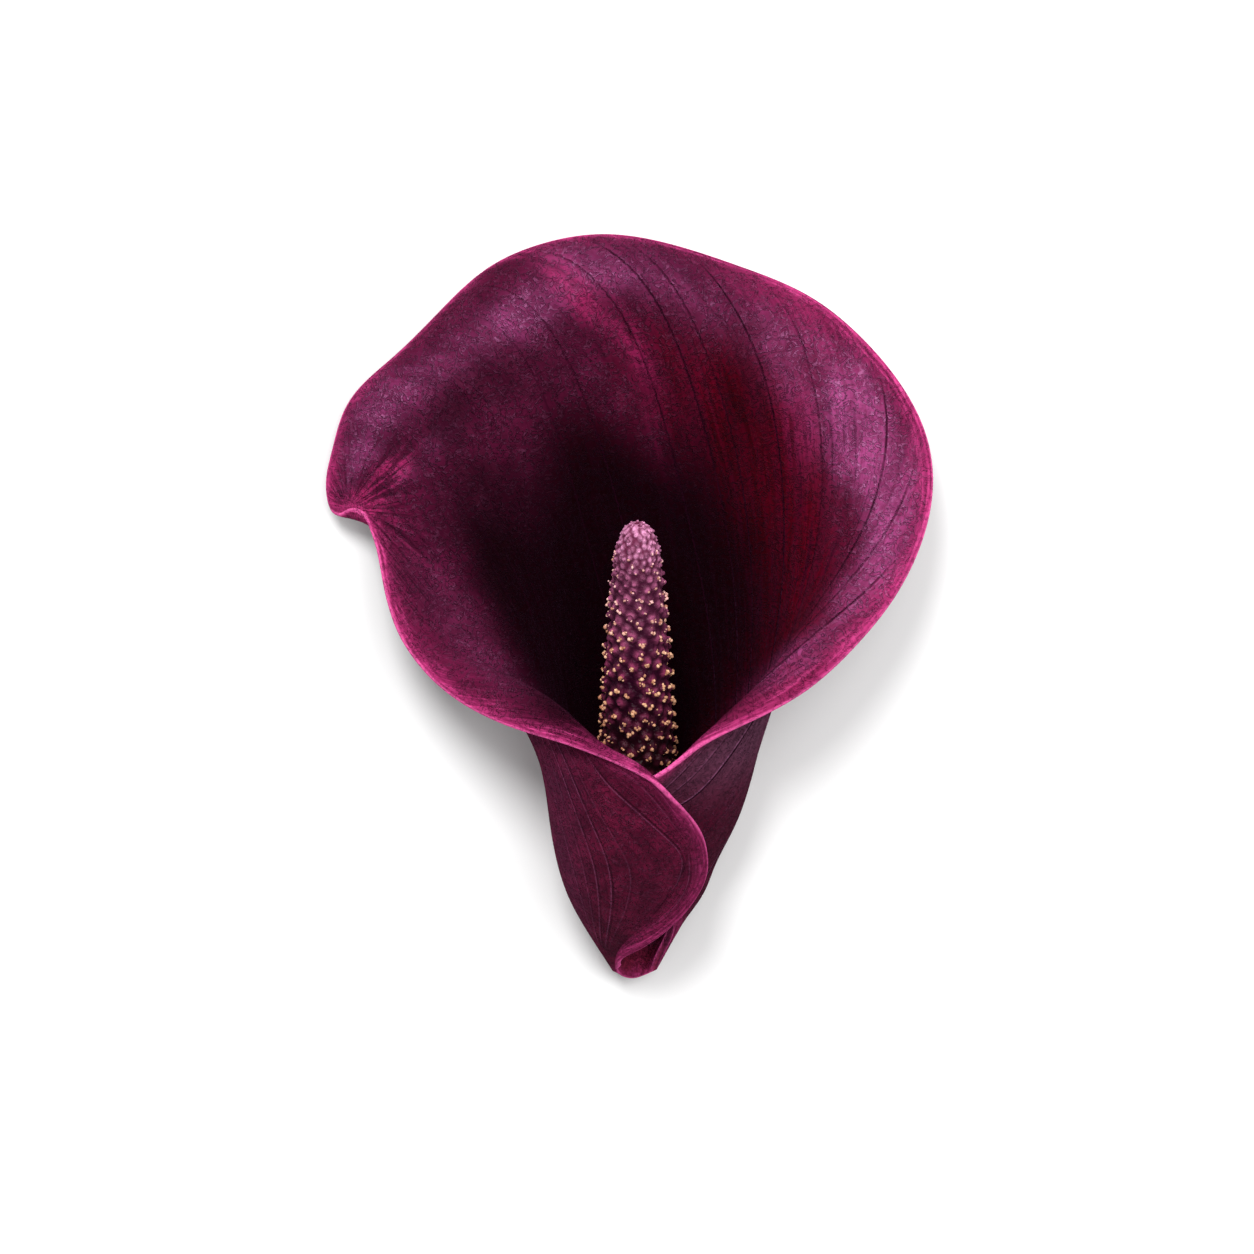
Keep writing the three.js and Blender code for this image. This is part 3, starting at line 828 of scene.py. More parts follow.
class Paint(Bench):
    """A material on the bench, with the nodes that colours and textures need."""

    def __init__(self, name):
        self.material = bpy.data.materials.new(name)
        self.material.use_nodes = True
        super().__init__(self.material.node_tree)
        self.shader = self.tree.nodes["Principled BSDF"]
        self.place = self.node("ShaderNodeTexCoord").outputs["Object"]

    def value(self, name):
        return self.node("ShaderNodeAttribute", {"attribute_name": name}).outputs["Fac"]

    def between(self, value, low, high, start=0.0, end=1.0):
        """Start where the value is low, end where it is high, and a smooth step from one to the other."""
        made = self.node("ShaderNodeMapRange", {"interpolation_type": "SMOOTHSTEP"}, Value=value)
        limits = {"From Min": low, "From Max": high, "To Min": start, "To Max": end}
        for name, limit in limits.items():
            self.plug(made.inputs[name], limit)
        return made.outputs["Result"]

    def mix(self, amount, a, b):
        made = self.node("ShaderNodeMix", {"data_type": "RGBA"})
        factor, first, second = (made.inputs[index] for index in (0, 6, 7))
        self.plug(factor, amount)
        for socket, value in ((first, a), (second, b)):
            self.plug(socket, value)
        return made.outputs[2]

    def noise(self, vector, scale, detail, distortion=0.0):
        made = self.node("ShaderNodeTexNoise", None, Vector=vector, Scale=scale, Detail=detail)
        self.plug(made.inputs["Distortion"], distortion)
        return made.outputs["Fac"]

    def stretched_noise(self, vector, stretch, detail, distortion=0.0):
        mapped = self.node("ShaderNodeMapping", None, Vector=vector, Scale=stretch).outputs["Vector"]
        return self.noise(mapped, 1.0, detail, distortion)

    def uneven(self, amount, texture, depth):
        """An amount made uneven by a texture, by so much up and down."""
        return self.times(amount, self.between(texture, 0.3, 0.7, 1.0 - depth, 1.0 + depth))

    def fade(self, distance, power):
        """1 at no distance, falling off as fast as the power says."""
        return self.math("POWER", math.e, self.times(distance, -power))

    def bump(self, height, distance, strength, normal=None):
        made = self.node("ShaderNodeBump", None, Height=height, Distance=distance, Strength=strength)
        if normal:
            self.plug(made.inputs["Normal"], normal)
        return made.outputs["Normal"]

    def finish(self, color, roughness, normal, coat=0.0, sheen=0.0, tint=(1.0, 1.0, 1.0)):
        inputs = self.shader.inputs
        linked = {"Base Color": color, "Roughness": roughness, "Normal": normal, "Coat Normal": normal}
        for name, value in linked.items():
            self.plug(inputs[name], value)
        inputs["Specular IOR Level"].default_value = 0.0
        inputs["Coat Weight"].default_value = coat
        inputs["Coat Roughness"].default_value = COAT_ROUGHNESS
        inputs["Sheen Weight"].default_value = sheen
        inputs["Sheen Roughness"].default_value = SHEEN_ROUGHNESS
        inputs["Sheen Tint"].default_value = (*tint, 1.0)
        return self.material


class PetalPaint(Paint):
    """The skin of the petal sheet, with the attributes and textures that its layers share."""

    def __init__(self, petal):
        super().__init__("petal")
        self.petal = petal
        self.skin = self.value("skin")
        self.foot = self.value("foot")
        self.side = self.value("side")
        self.vein = self.value("vein")
        self.bloom = self.value("bloom")
        self.red = self.value("red")
        self.notch = self.value("notch")
        self.rim = self.math("MINIMUM", self.value("edge"), self.math("ADD", self.foot, 0.1))
        fibre = self.node("ShaderNodeUVMap", {"uv_map": "fibre"}).outputs["UV"]
        self.blotch = self.noise(self.place, BLOTCH_SCALE, 3)
        self.speck = self.noise(self.place, SPECK_SCALE, 3)
        self.threads = self.stretched_noise(fibre, THREAD_STRETCH, 4, 0.4)
        self.streaks = self.stretched_noise(fibre, STREAK_STRETCH, 2)
        fan = self.joined(self.value("fan_angle"), self.value("fan_reach"))
        self.fan = self.between(self.stretched_noise(fan, FAN_STRETCH, 3, 0.5), 0.38, 0.62)
        self.strands = self.mix(self.notch, self.threads, self.fan)
        curl = self.noise(self.place, CURL_SCALE, 2, 1.6)
        often = self.between(self.speck, 0.35, 0.6, 0.25, 1.0)
        patchy = self.times(often, self.between(self.blotch, 0.35, 0.65, 0.6, 1.2))
        # Curl ridges and their furrows: both shape the relief, and the colour paints a highlight on the
        # ridges and shade in the furrows
        self.puckers = self.times(self.line_at(curl, 0.5, 0.07), patchy)
        self.furrows = self.times(self.line_at(curl, 0.58, 0.06), patchy)

    def line_at(self, offset, where, half_width):
        """1 where the signed distance equals where, fading to 0 within the half width."""
        away = self.math("ABSOLUTE", self.math("SUBTRACT", offset, where))
        return self.between(away, 0.0, half_width, 1.0, 0.0)

    def vein_offset(self, per_vein):
        """Signed distance from the nearest line, in millimetres, with so many lines to a main vein."""
        nearest = self.math("FRACT", self.math("ADD", self.times(self.vein, per_vein), 0.5))
        gap = self.math("DIVIDE", self.value("gap"), per_vein)
        return self.times(self.math("SUBTRACT", nearest, 0.5), gap)

    def inner_skin(self):
        """Magenta with a burgundy wall, pink streaks, a painted lilac sheen, painted highlights and shade on
        the curled puckers, and a throat darkened by painted shade, partly its own dark colour.
        """
        petal = self.petal
        color = self.mix(self.between(self.blotch, 0.35, 0.7), petal.inner_painted_shade, petal.inner_color)
        fibres = self.between(self.threads, 0.35, 0.7)
        burgundy = self.mix(fibres, petal.burgundy_painted_shade, petal.burgundy_color)
        color = self.mix(self.uneven(self.red, self.streaks, 0.3), color, burgundy)
        streaky = self.uneven(self.value("pink"), self.streaks, 0.45)
        color = self.mix(self.uneven(streaky, self.strands, 0.8), color, petal.pink_color)
        # Painted lilac sheen, broken up by blotches, specks, streaks and strands
        sheen_haze = self.uneven(self.uneven(self.bloom, self.blotch, 0.3), self.speck, 0.35)
        combed = self.between(self.strands, 0.3, 0.7, 0.55, 1.0)
        sheen_haze = self.times(self.uneven(sheen_haze, self.streaks, 0.4), combed)
        color = self.mix(sheen_haze, color, petal.bloom_color)
        # Painted shade in the furrows beside the curls, stronger in the sheen
        furrow_shade = self.times(self.furrows, self.between(self.bloom, 0.0, 0.5, 0.18, 0.28))
        color = self.mix(furrow_shade, color, petal.vein_and_shade_color)
        off_burgundy = self.between(self.red, 0.2, 0.9, 1.0, 0.12)
        # Painted highlights on the curl ridges, most in the sheen, few on the burgundy wall
        pucker_highlights = self.times(self.puckers, self.between(self.bloom, 0.0, 0.6, 0.09, 0.55), off_burgundy)
        color = self.mix(pucker_highlights, color, petal.highlight_color)
        between_strands = self.times(self.between(self.fan, 0.0, 0.4, 0.45, 0.0), self.notch)
        color = self.mix(between_strands, color, petal.inner_painted_shade)
        # Painted shade darkens the throat and the walls that roll away
        return self.mix(self.between(self.value("painted_shade"), 0.0, 0.85, 0.0, 0.98), color, petal.throat_shade_color)

    def outer_skin(self):
        """Maroon with darker fibres, painted light at the left, and a painted grey sheen on the inner side
        of the roll, darker towards the foot.
        """
        petal = self.petal
        color = self.mix(self.between(self.blotch, 0.35, 0.7), petal.outer_painted_shade, petal.outer_color)
        color = self.mix(self.between(self.threads, 0.42, 0.7, 0.0, 0.4), color, petal.outer_painted_shade)
        # Painted light: the left of the outer lobe is lightened with the sheen colour
        color = self.mix(self.between(self.side, -0.55, -0.42, 0.0, 0.08), color, petal.bloom_color)
        # Painted grey sheen on the outside of the inner side of the roll, darker towards the foot
        flap = self.mix(self.between(self.foot, 31.5, 46.0), petal.outer_painted_shade, petal.flap_sheen_color)
        color = self.mix(self.between(self.side, 0.55, 0.7), color, flap)
        # Faint painted highlights on the puckers of the outer skin
        return self.mix(self.times(self.puckers, 0.06), color, petal.highlight_color)

    def with_margin(self, color):
        """The bright margin: a pink glow, the band itself with painted highlights in it, and a thin light
        line on the very edge.
        """
        petal = self.petal
        spread = self.uneven(self.math("DIVIDE", self.rim, self.value("band")), self.threads, 0.25)
        runs = self.stretched_noise(self.joined(self.side, self.rim), MARGIN_STRETCH, 3, 0.3)
        shown = self.between(self.side, 0.82, 0.93, 1.0, 0.0)
        glow = self.times(self.fade(spread, 0.75), self.between(runs, 0.3, 0.7, 0.3, 0.6), shown)
        color = self.mix(glow, color, petal.pink_color)
        self.band = self.times(
            self.fade(self.times(spread, spread), 0.8),
            self.between(self.skin, 0.0, 1.0, 0.6, 0.75),
            self.between(runs, 0.35, 0.62, 0.45, 1.0),
            shown,
        )
        color = self.mix(self.band, color, petal.band_color)
        # Painted highlights in runs along the band
        band_highlights = self.times(self.band, self.between(runs, 0.54, 0.68, 0.0, 0.4))
        color = self.mix(band_highlights, color, petal.rim_color)
        very_edge = self.times(self.between(self.rim, 0.08, 0.4, 0.9, 0.0), shown)
        return self.mix(very_edge, color, petal.rim_color)

    def with_veins(self, color):
        """Dark main veins, each of its own strength and with a painted highlight beaded beside it, and fine
        ones.
        """
        petal = self.petal
        nearest = self.math("ROUND", self.vein)
        by_chance = self.node("ShaderNodeTexWhiteNoise", {"noise_dimensions": "1D"}, W=nearest)
        starts = self.between(self.skin, 0.0, 1.0, 0.3, 0.0)
        own_strength = self.between(by_chance.outputs["Value"], starts, 0.7, 0.05, 1.0)
        breaks = self.between(self.noise(self.place, VEIN_BREAK_SCALE, 2), 0.35, 0.6, 0.65, 1.0)
        off_margin = self.between(self.rim, 1.0, 4.0, 0.1, 1.0)
        seen = self.times(self.value("strength"), own_strength, breaks, off_margin)
        offset = self.vein_offset(1.0)
        self.lines = self.times(self.line_at(offset, 0.0, VEIN_HALF_WIDTH), seen)
        fine = self.line_at(self.vein_offset(3.0), 0.0, FINE_VEIN_HALF_WIDTH)
        fine = self.times(fine, 0.2, self.between(self.threads, 0.35, 0.65))
        beads = self.between(self.noise(self.place, VEIN_BEAD_SCALE, 1), 0.45, 0.6)
        beads = self.math("MAXIMUM", beads, self.between(self.skin, 0.0, 1.0, 0.8, 0.0))
        outside = self.math("SUBTRACT", 1.0, self.skin)
        highlight_zones = self.math("MAXIMUM", self.between(self.bloom, 0.1, 0.5), outside)
        beside = self.line_at(offset, HIGHLIGHT_LINE_OFFSET, HIGHLIGHT_LINE_HALF_WIDTH)
        # Painted highlight beside each main vein, in the sheen and on the outer skin
        color = self.mix(self.times(beside, beads, highlight_zones, seen, 0.28), color, petal.highlight_color)
        dark_lines = self.math("MAXIMUM", self.times(self.lines, 0.9), fine)
        color = self.mix(dark_lines, color, petal.vein_and_shade_color)
        fibrous = self.between(self.value("fibrous"), 0.0, 1.0, 0.15, 0.8)
        dark_threads = self.times(self.between(self.threads, 0.48, 0.7), fibrous)
        color = self.mix(dark_threads, color, petal.vein_and_shade_color)
        return self.mix(self.between(self.speck, 0.35, 0.7, 0.0, 0.2), color, petal.vein_and_shade_color)

    def relief(self):
        """The fine relief of the skin: curled puckers, strands, sunken veins, specks and grain."""
        curls = self.math("SUBTRACT", self.puckers, self.times(self.furrows, 0.7))
        curls = self.times(curls, self.between(self.band, 0.1, 0.7, 1.0, 0.35))
        normal = self.bump(curls, 0.0002, 1.0)
        normal = self.bump(self.strands, 0.0003, 0.6, normal)
        normal = self.bump(self.math("SUBTRACT", 1.0, self.lines), 0.0002, 0.8, normal)
        normal = self.bump(self.speck, 0.0001, 0.35, normal)
        return self.bump(self.noise(self.place, GRAIN_SCALE, 1), 0.00003, 0.25, normal)


def petal_material(petal):
    paint = PetalPaint(petal)
    color = paint.mix(paint.skin, paint.outer_skin(), paint.inner_skin())
    # Painted light on the inside of the spout, fading from the foot edge
    spout_light = paint.times(paint.between(paint.foot, 1.0, 7.0, 1.0, 0.0), paint.skin)
    color = paint.mix(spout_light, color, petal.spout_light_color)
    color = paint.with_veins(paint.with_margin(color))
    roughness = paint.between(paint.speck, 0.25, 0.75, 0.45, 0.6)
    return paint.finish(color, roughness, paint.relief(), 0.02, 0.02, (1.0, 0.4, 0.8))


def spike_material(spadix):
    """The skin of the spike: lilac at the tip, dark at the foot, partly as painted shade, and painted shade
    between its knobs.
    """
    paint = Paint("spike")
    rise = paint.value("rise")
    mottle = paint.noise(paint.place, 1400, 3)
    low = paint.between(rise, 0.38, 0.68)
    middle = paint.between(rise, 0.62, 0.88)
    high = paint.between(rise, 0.85, 0.97)

    def along(foot, halfway, upper, tip):
        return paint.mix(high, paint.mix(middle, paint.mix(low, foot, halfway), upper), tip)

    # Painted shade in the hollows and on the undersides of the knobs, darker towards the foot
    hollow_shade = along(spadix.foot_hollow_shade, spadix.middle_hollow_shade, spadix.upper_hollow_shade, spadix.tip_hollow_shade)
    top = along(spadix.foot_color, spadix.middle_color, spadix.upper_color, spadix.tip_color)
    # Some knobs are darker at random, in the colour of the painted shade
    top = paint.mix(paint.between(paint.value("tone"), 0.3, 1.0, 0.0, 0.6), top, hollow_shade)
    color = paint.mix(paint.between(paint.value("crown"), 0.1, 0.85), hollow_shade, top)
    # Random darker mottles, in the colour of the painted shade
    color = paint.mix(paint.between(mottle, 0.4, 0.62, 0.0, 0.65), color, hollow_shade)
    return paint.finish(color, 0.5, paint.bump(mottle, 0.0004, 1.0), 0.15, 0.02, (1.0, 0.6, 0.85))


def pollen_material(spadix):
    """Golden crumbs, pinker near the tip and darker and browner low down, partly as painted shade, no two of
    quite the same tone.
    """
    paint = Paint("pollen")
    rise = paint.value("rise")
    mottle = paint.noise(paint.place, 2600, 2)
    color = paint.mix(paint.between(rise, 0.6, 0.88), spadix.pollen_color, spadix.pollen_tip)
    # Darker low down, partly as painted shade deep in the funnel
    color = paint.mix(paint.between(rise, 0.36, 0.6, 0.75, 0.0), color, spadix.pollen_painted_shade)
    color = paint.mix(paint.between(paint.value("tone"), 0.3, 1.0, 0.0, 0.85), color, spadix.pollen_painted_shade)
    color = paint.mix(paint.between(mottle, 0.45, 0.7, 0.0, 0.75), color, spadix.pollen_painted_shade)
    return paint.finish(color, 0.6, paint.bump(mottle, 0.0001, 0.6), 0.2)


def stalk_material(petal):
    """The colours of the outside of the roll, in fibres along the stalk."""
    paint = Paint("stalk")
    stretched = paint.node("ShaderNodeMapping", None, Vector=paint.place, Scale=(1.0, 0.1, 0.3))
    fibres = paint.noise(stretched.outputs["Vector"], 1500, 3)
    color = paint.mix(fibres, petal.outer_painted_shade, petal.outer_color)
    return paint.finish(color, 0.6, paint.bump(fibres, 0.0002, 0.6), 0.1)


def floor_material(stage):
    """Plain pale board with a faint grain."""
    paint = Paint("floor")
    grain = paint.noise(paint.place, 60, 2)
    color = paint.mix(paint.times(grain, 0.03), stage.floor_color, stage.floor_grain)
    return paint.finish(color, 0.9, paint.bump(grain, 0.00005, 0.05))


# Spike

# Fineness of the skin of the spike, the width of a mound beside the knob spacing, and its unevenness
SPIKE_SIDES = 210
SPIKE_LEVELS = 400
MOUND_WIDTH = 0.42
UNEVEN_SIZE = 0.6
UNEVEN_HEIGHT = 0.14

# The knobs' spiral: the turn from one to the next, the lowest one, how far they stray beside their
# spacing, and the size of those at the tip beside the rest
GOLDEN_TURN = math.radians(137.508)
LOWEST_KNOB = 9.6
KNOB_STRAY = 0.15
SMALLEST_KNOB = 0.48

# The crumbs of pollen on a knob: the most that join the first, how far they spread and stand up
EXTRA_CRUMBS = 6
CRUMB_SPREAD = 0.2
CRUMB_RISE = 0.12


def spike_radius(height):
    """Radius of the spike over its knobs at a height along the axis."""
    heights, radii = zip(*(SPADIX_PROFILE + [(SPADIX_TIP, 0.0)]))
    return float(np.interp(height, heights, radii))


class Mounds:
    """The small mounds of the spike's skin, one where each knob sits."""

    def __init__(self, spadix):
        places = knob_places(spadix)
        self.heights = np.array([place[0] for place in places])
        self.angles = np.array([place[1] for place in places])
        scales = np.array([knob_scale(height) for height in self.heights])
        self.widths = spadix.knob_spacing / MM * MOUND_WIDTH * scales
        self.tones = np.random.default_rng(SEED).uniform(size=len(places))

    def on_ring(self, level, turns, radius):
        """How near each point of a ring is to the top of a mound, from 0 to 1, and that mound's tone."""
        near = np.abs(self.heights - level) < 3 * self.widths.max()
        turned = (turns[:, None] - self.angles[near] + math.pi) % (2 * math.pi) - math.pi
        away = np.hypot(turned * radius, level - self.heights[near]) / self.widths[near]
        mounds = np.exp(-(away**2))
        return mounds.max(axis=1), self.tones[near][mounds.argmax(axis=1)]


def spike_core_mesh(spadix):
    """The fleshy skin of the spike, with its small mounds."""
    levels = np.linspace(SPADIX_FOOT + 0.15, SPADIX_TIP - 0.45, SPIKE_LEVELS)
    turns = np.arange(SPIKE_SIDES) * 2 * math.pi / SPIKE_SIDES
    outward = np.cos(turns)[:, None] * RIGHT + np.sin(turns)[:, None] * FRONT
    mounds = Mounds(spadix)
    rings = []
    crowns = []
    tones = []
    for level in levels:
        radius = spike_radius(level)
        crown, tone = mounds.on_ring(level, turns, radius)
        centre = axis_point(level, SPADIX_SHIFT)
        rough = np.array([noise.noise(Vector(spot / UNEVEN_SIZE)) for spot in centre + radius * outward])
        depth = spadix.knob_height / MM * knob_scale(level)
        reach = np.maximum(0.15, radius - depth * (1.3 - crown) + UNEVEN_HEIGHT * rough)
        rings.append(lay(centre + reach[:, None] * outward))
        crowns.append(crown)
        tones.append(tone)
    mesh = closed_loft("spadix_core", rings)
    add_attribute(mesh, "rise", rise_at(np.repeat(levels, SPIKE_SIDES)))
    add_attribute(mesh, "crown", np.concatenate(crowns))
    add_attribute(mesh, "tone", np.concatenate(tones))
    return mesh


def knob_scale(height):
    """Knobs shrink to small pebbles at the tip of the spike."""
    return 1 - (1 - SMALLEST_KNOB) * float(smoothstep(height, SPADIX_TIP - 13, SPADIX_TIP - 3))


def knob_places(spadix):
    """Spiral places for the knobs: height, angle and radius, evenly spread over the spike."""
    rng = np.random.default_rng(SEED)
    places = []
    height = LOWEST_KNOB
    while height < SPADIX_TIP - 0.1:
        radius = max(0.5, spike_radius(height))
        spacing = spadix.knob_spacing / MM * knob_scale(height)
        stray_up, stray_round = rng.normal(0, KNOB_STRAY * spacing, 2)
        place = clamp(height + stray_up, LOWEST_KNOB - 0.2, SPADIX_TIP - 0.1)
        places.append((place, len(places) * GOLDEN_TURN + stray_round / radius, radius))
        slope = abs(spike_radius(height + 0.2) - spike_radius(height)) / 0.2
        girth = 2 * math.pi * radius * math.sqrt(1 + slope * slope)
        height += spacing * spacing * math.sin(math.radians(60)) / girth
    return places


def spike_point(height, angle, inset):
    """A point of the spike's surface and the direction out of it."""
    radius = spike_radius(height)
    rise = (spike_radius(height + 0.4) - spike_radius(height - 0.4)) / 0.8
    out = RIGHT * math.cos(angle) + FRONT * math.sin(angle)
    outward = out - AXIS * rise
    outward /= np.linalg.norm(outward)
    point = axis_point(height, SPADIX_SHIFT) + out * max(radius, 0.05) - outward * inset
    return point, outward


def points_mesh(name, points, outwards, rises, sizes):
    mesh = bpy.data.meshes.new(name)
    mesh.from_pydata(lay(points).tolist(), [], [])
    directions = laid(outwards)
    attribute = mesh.attributes.new("outward", "FLOAT_VECTOR", "POINT")
    attribute.data.foreach_set("vector", directions.astype(np.float32).ravel())
    add_attribute(mesh, "rise", rises)
    add_attribute(mesh, "size", sizes)
    return mesh


class ScatterBench(Bench):
    """A node tree that sets a small rounded lump on every point and turns it outward."""

    def __init__(self, name, subdivisions):
        super().__init__(bpy.data.node_groups.new(name, "GeometryNodeTree"))
        self.add_sockets()
        self.given = self.node("NodeGroupInput").outputs
        lumps = self.node(
            "GeometryNodeInstanceOnPoints", None, Points=self.given["Geometry"],
            Instance=self.lump(subdivisions), Rotation=self.turned_out(), Scale=self.size(),
        )
        toned = self.stored(lumps.outputs["Instances"], "tone", self.random(0.0, 1.0, 5), "INSTANCE")
        realized = self.node("GeometryNodeRealizeInstances", None, Geometry=toned)
        painted = self.node(
            "GeometryNodeSetMaterial", None, Geometry=realized.outputs[0], Material=self.given["Material"],
        )
        self.node("NodeGroupOutput", None, Geometry=painted.outputs[0])

    def add_sockets(self):
        """The named inputs and the output of the tree."""
        face = self.tree.interface
        face.new_socket("Geometry", in_out="INPUT", socket_type="NodeSocketGeometry")
        size = face.new_socket("Lump Size", in_out="INPUT", socket_type="NodeSocketVector")
        size.description = "Width, width and height of one lump, in metres"
        spread = face.new_socket("Size Spread", in_out="INPUT", socket_type="NodeSocketFloat")
        spread.description = "How much the lumps differ in size"
        spread.default_value = 0.2
        tilt = face.new_socket("Tilt", in_out="INPUT", socket_type="NodeSocketFloat")
        tilt.description = "How far a lump leans at most, in radians"
        seed = face.new_socket("Seed", in_out="INPUT", socket_type="NodeSocketInt")
        seed.default_value = SEED
        face.new_socket("Material", in_out="INPUT", socket_type="NodeSocketMaterial")
        face.new_socket("Geometry", in_out="OUTPUT", socket_type="NodeSocketGeometry")

    def stored(self, geometry, name, value, domain="POINT"):
        made = self.node("GeometryNodeStoreNamedAttribute", {"domain": domain}, Geometry=geometry, Name=name)
        self.plug(made.inputs["Value"], value)
        return made.outputs["Geometry"]

    def read(self, name, kind):
        return self.node("GeometryNodeInputNamedAttribute", {"data_type": kind}, Name=name).outputs[0]

    def random(self, low, high, offset):
        """A random number for each point, with its own offset from the seed."""
        made = self.node("FunctionNodeRandomValue", {"data_type": "FLOAT"})
        self.plug(made.inputs["Seed"], self.math("ADD", self.given["Seed"], offset))
        smallest, largest = [socket for socket in made.inputs if socket.enabled][:2]
        self.plug(smallest, low)
        self.plug(largest, high)
        return [socket for socket in made.outputs if socket.enabled][0]

    def lump(self, subdivisions):
        """One round lump, which knows how near its top each point is."""
        ball = self.node("GeometryNodeMeshIcoSphere", None, Radius=0.5, Subdivisions=subdivisions)
        position = self.node("GeometryNodeInputPosition").outputs[0]
        parts = self.node("ShaderNodeSeparateXYZ", None, Vector=position)
        return self.stored(ball.outputs["Mesh"], "crown", self.times(parts.outputs["Z"], 2.0))

    def turned_out(self):
        """The turn of each lump: away from the surface, with a random lean and spin."""
        outward = self.read("outward", "FLOAT_VECTOR")
        upright = self.node("FunctionNodeAlignRotationToVector", {"axis": "Z"}, Vector=outward).outputs[0]
        tilt = self.given["Tilt"]
        back = self.times(tilt, -1.0)
        wobble = self.joined(
            self.random(back, tilt, 1), self.random(back, tilt, 2), self.random(0.0, 2 * math.pi, 3),
        )
        wobble = self.node("FunctionNodeEulerToRotation", None, Euler=wobble).outputs[0]
        whole = self.node("FunctionNodeRotateRotation", {"rotation_space": "LOCAL"}, Rotation=upright)
        self.plug(whole.inputs["Rotate By"], wobble)
        return whole.outputs[0]

    def size(self):
        """The size of each lump: the lump size, times the point's own size, times a random number."""
        spread = self.given["Size Spread"]
        by_chance = self.random(self.math("SUBTRACT", 1.0, spread), self.math("ADD", 1.0, spread), 4)
        factor = self.times(by_chance, self.read("size", "FLOAT"))
        scaled = self.node("ShaderNodeVectorMath", {"operation": "SCALE"}, Scale=factor)
        self.plug(scaled.inputs[0], self.given["Lump Size"])
        return scaled.outputs[0]


def scattered_piece(name, points, tree, **values):
    """Runs a scatter tree on a mesh of points, with values for its named inputs, and keeps a plain mesh."""
    carrier = bpy.data.objects.new(name + "_points", points)
    bpy.context.scene.collection.objects.link(carrier)
    modifier = carrier.modifiers.new("Scatter", "NODES")
    modifier.node_group = tree
    values["seed"] = SEED
    for item in tree.interface.items_tree:
        key = item.name.lower().replace(" ", "_")
        if item.in_out == "INPUT" and key in values:
            modifier[item.identifier] = values[key]
    graph = bpy.context.evaluated_depsgraph_get()
    mesh = bpy.data.meshes.new_from_object(carrier.evaluated_get(graph), depsgraph=graph)
    mesh.name = name
    carrier.modifiers.remove(modifier)
    bpy.data.objects.remove(carrier)
    mesh.materials.clear()
    return new_piece(name, mesh, values["material"])


def rise_at(height):
    """0 at the foot of the spike and 1 at its tip."""
    return (height - SPADIX_FOOT) / (SPADIX_TIP - SPADIX_FOOT)


def pollen_places(spadix):
    """Clusters of crumbs on the knobs: single ones near the tip, full clusters lower down."""
    rng = np.random.default_rng(SEED)
    knob = 0.5 * spadix.knob_width / MM
    depth = spadix.knob_height / MM
    points = []
    outwards = []
    rises = []
    sizes = []
    for height, angle, radius in knob_places(spadix):
        fullness = float(smoothstep(SPADIX_TIP - 3 - height, 0.0, 12.0))
        if rng.uniform() > spadix.pollen_amount * fullness**0.4:
            continue
        for _ in range(1 + rng.binomial(EXTRA_CRUMBS, 0.2 + 0.5 * fullness)):
            shift_up, shift_round = rng.normal(0, CRUMB_SPREAD, 2)
            off = min(1.0, math.hypot(shift_up, shift_round) / knob)
            inset = depth * (1 - math.sqrt(1 - off * off)) - rng.uniform(0.0, CRUMB_RISE)
            point, outward = spike_point(height + shift_up, angle + shift_round / radius, inset)
            points.append(point)
            outwards.append(outward)
            rises.append(rise_at(height))
            sizes.append(0.75 + 0.3 * fullness)
    return np.array(points), np.array(outwards), np.array(rises), np.array(sizes)


# Settings


def color_setting(name, description, default):
    return bpy.props.FloatVectorProperty(
        name=name, description=description, subtype="COLOR", size=3, min=0, max=1, default=default,
    )


def length_setting(name, description, default):
    return bpy.props.FloatProperty(
        name=name, description=description, unit="LENGTH", precision=5, default=default,
    )


def power_setting(name, description, default):
    return bpy.props.FloatProperty(name=name, description=description, unit="POWER", default=default)


def amount_setting(name, description, default):
    return bpy.props.FloatProperty(name=name, description=description, default=default)


def count_setting(name, description, default):
    return bpy.props.IntProperty(name=name, description=description, default=default)


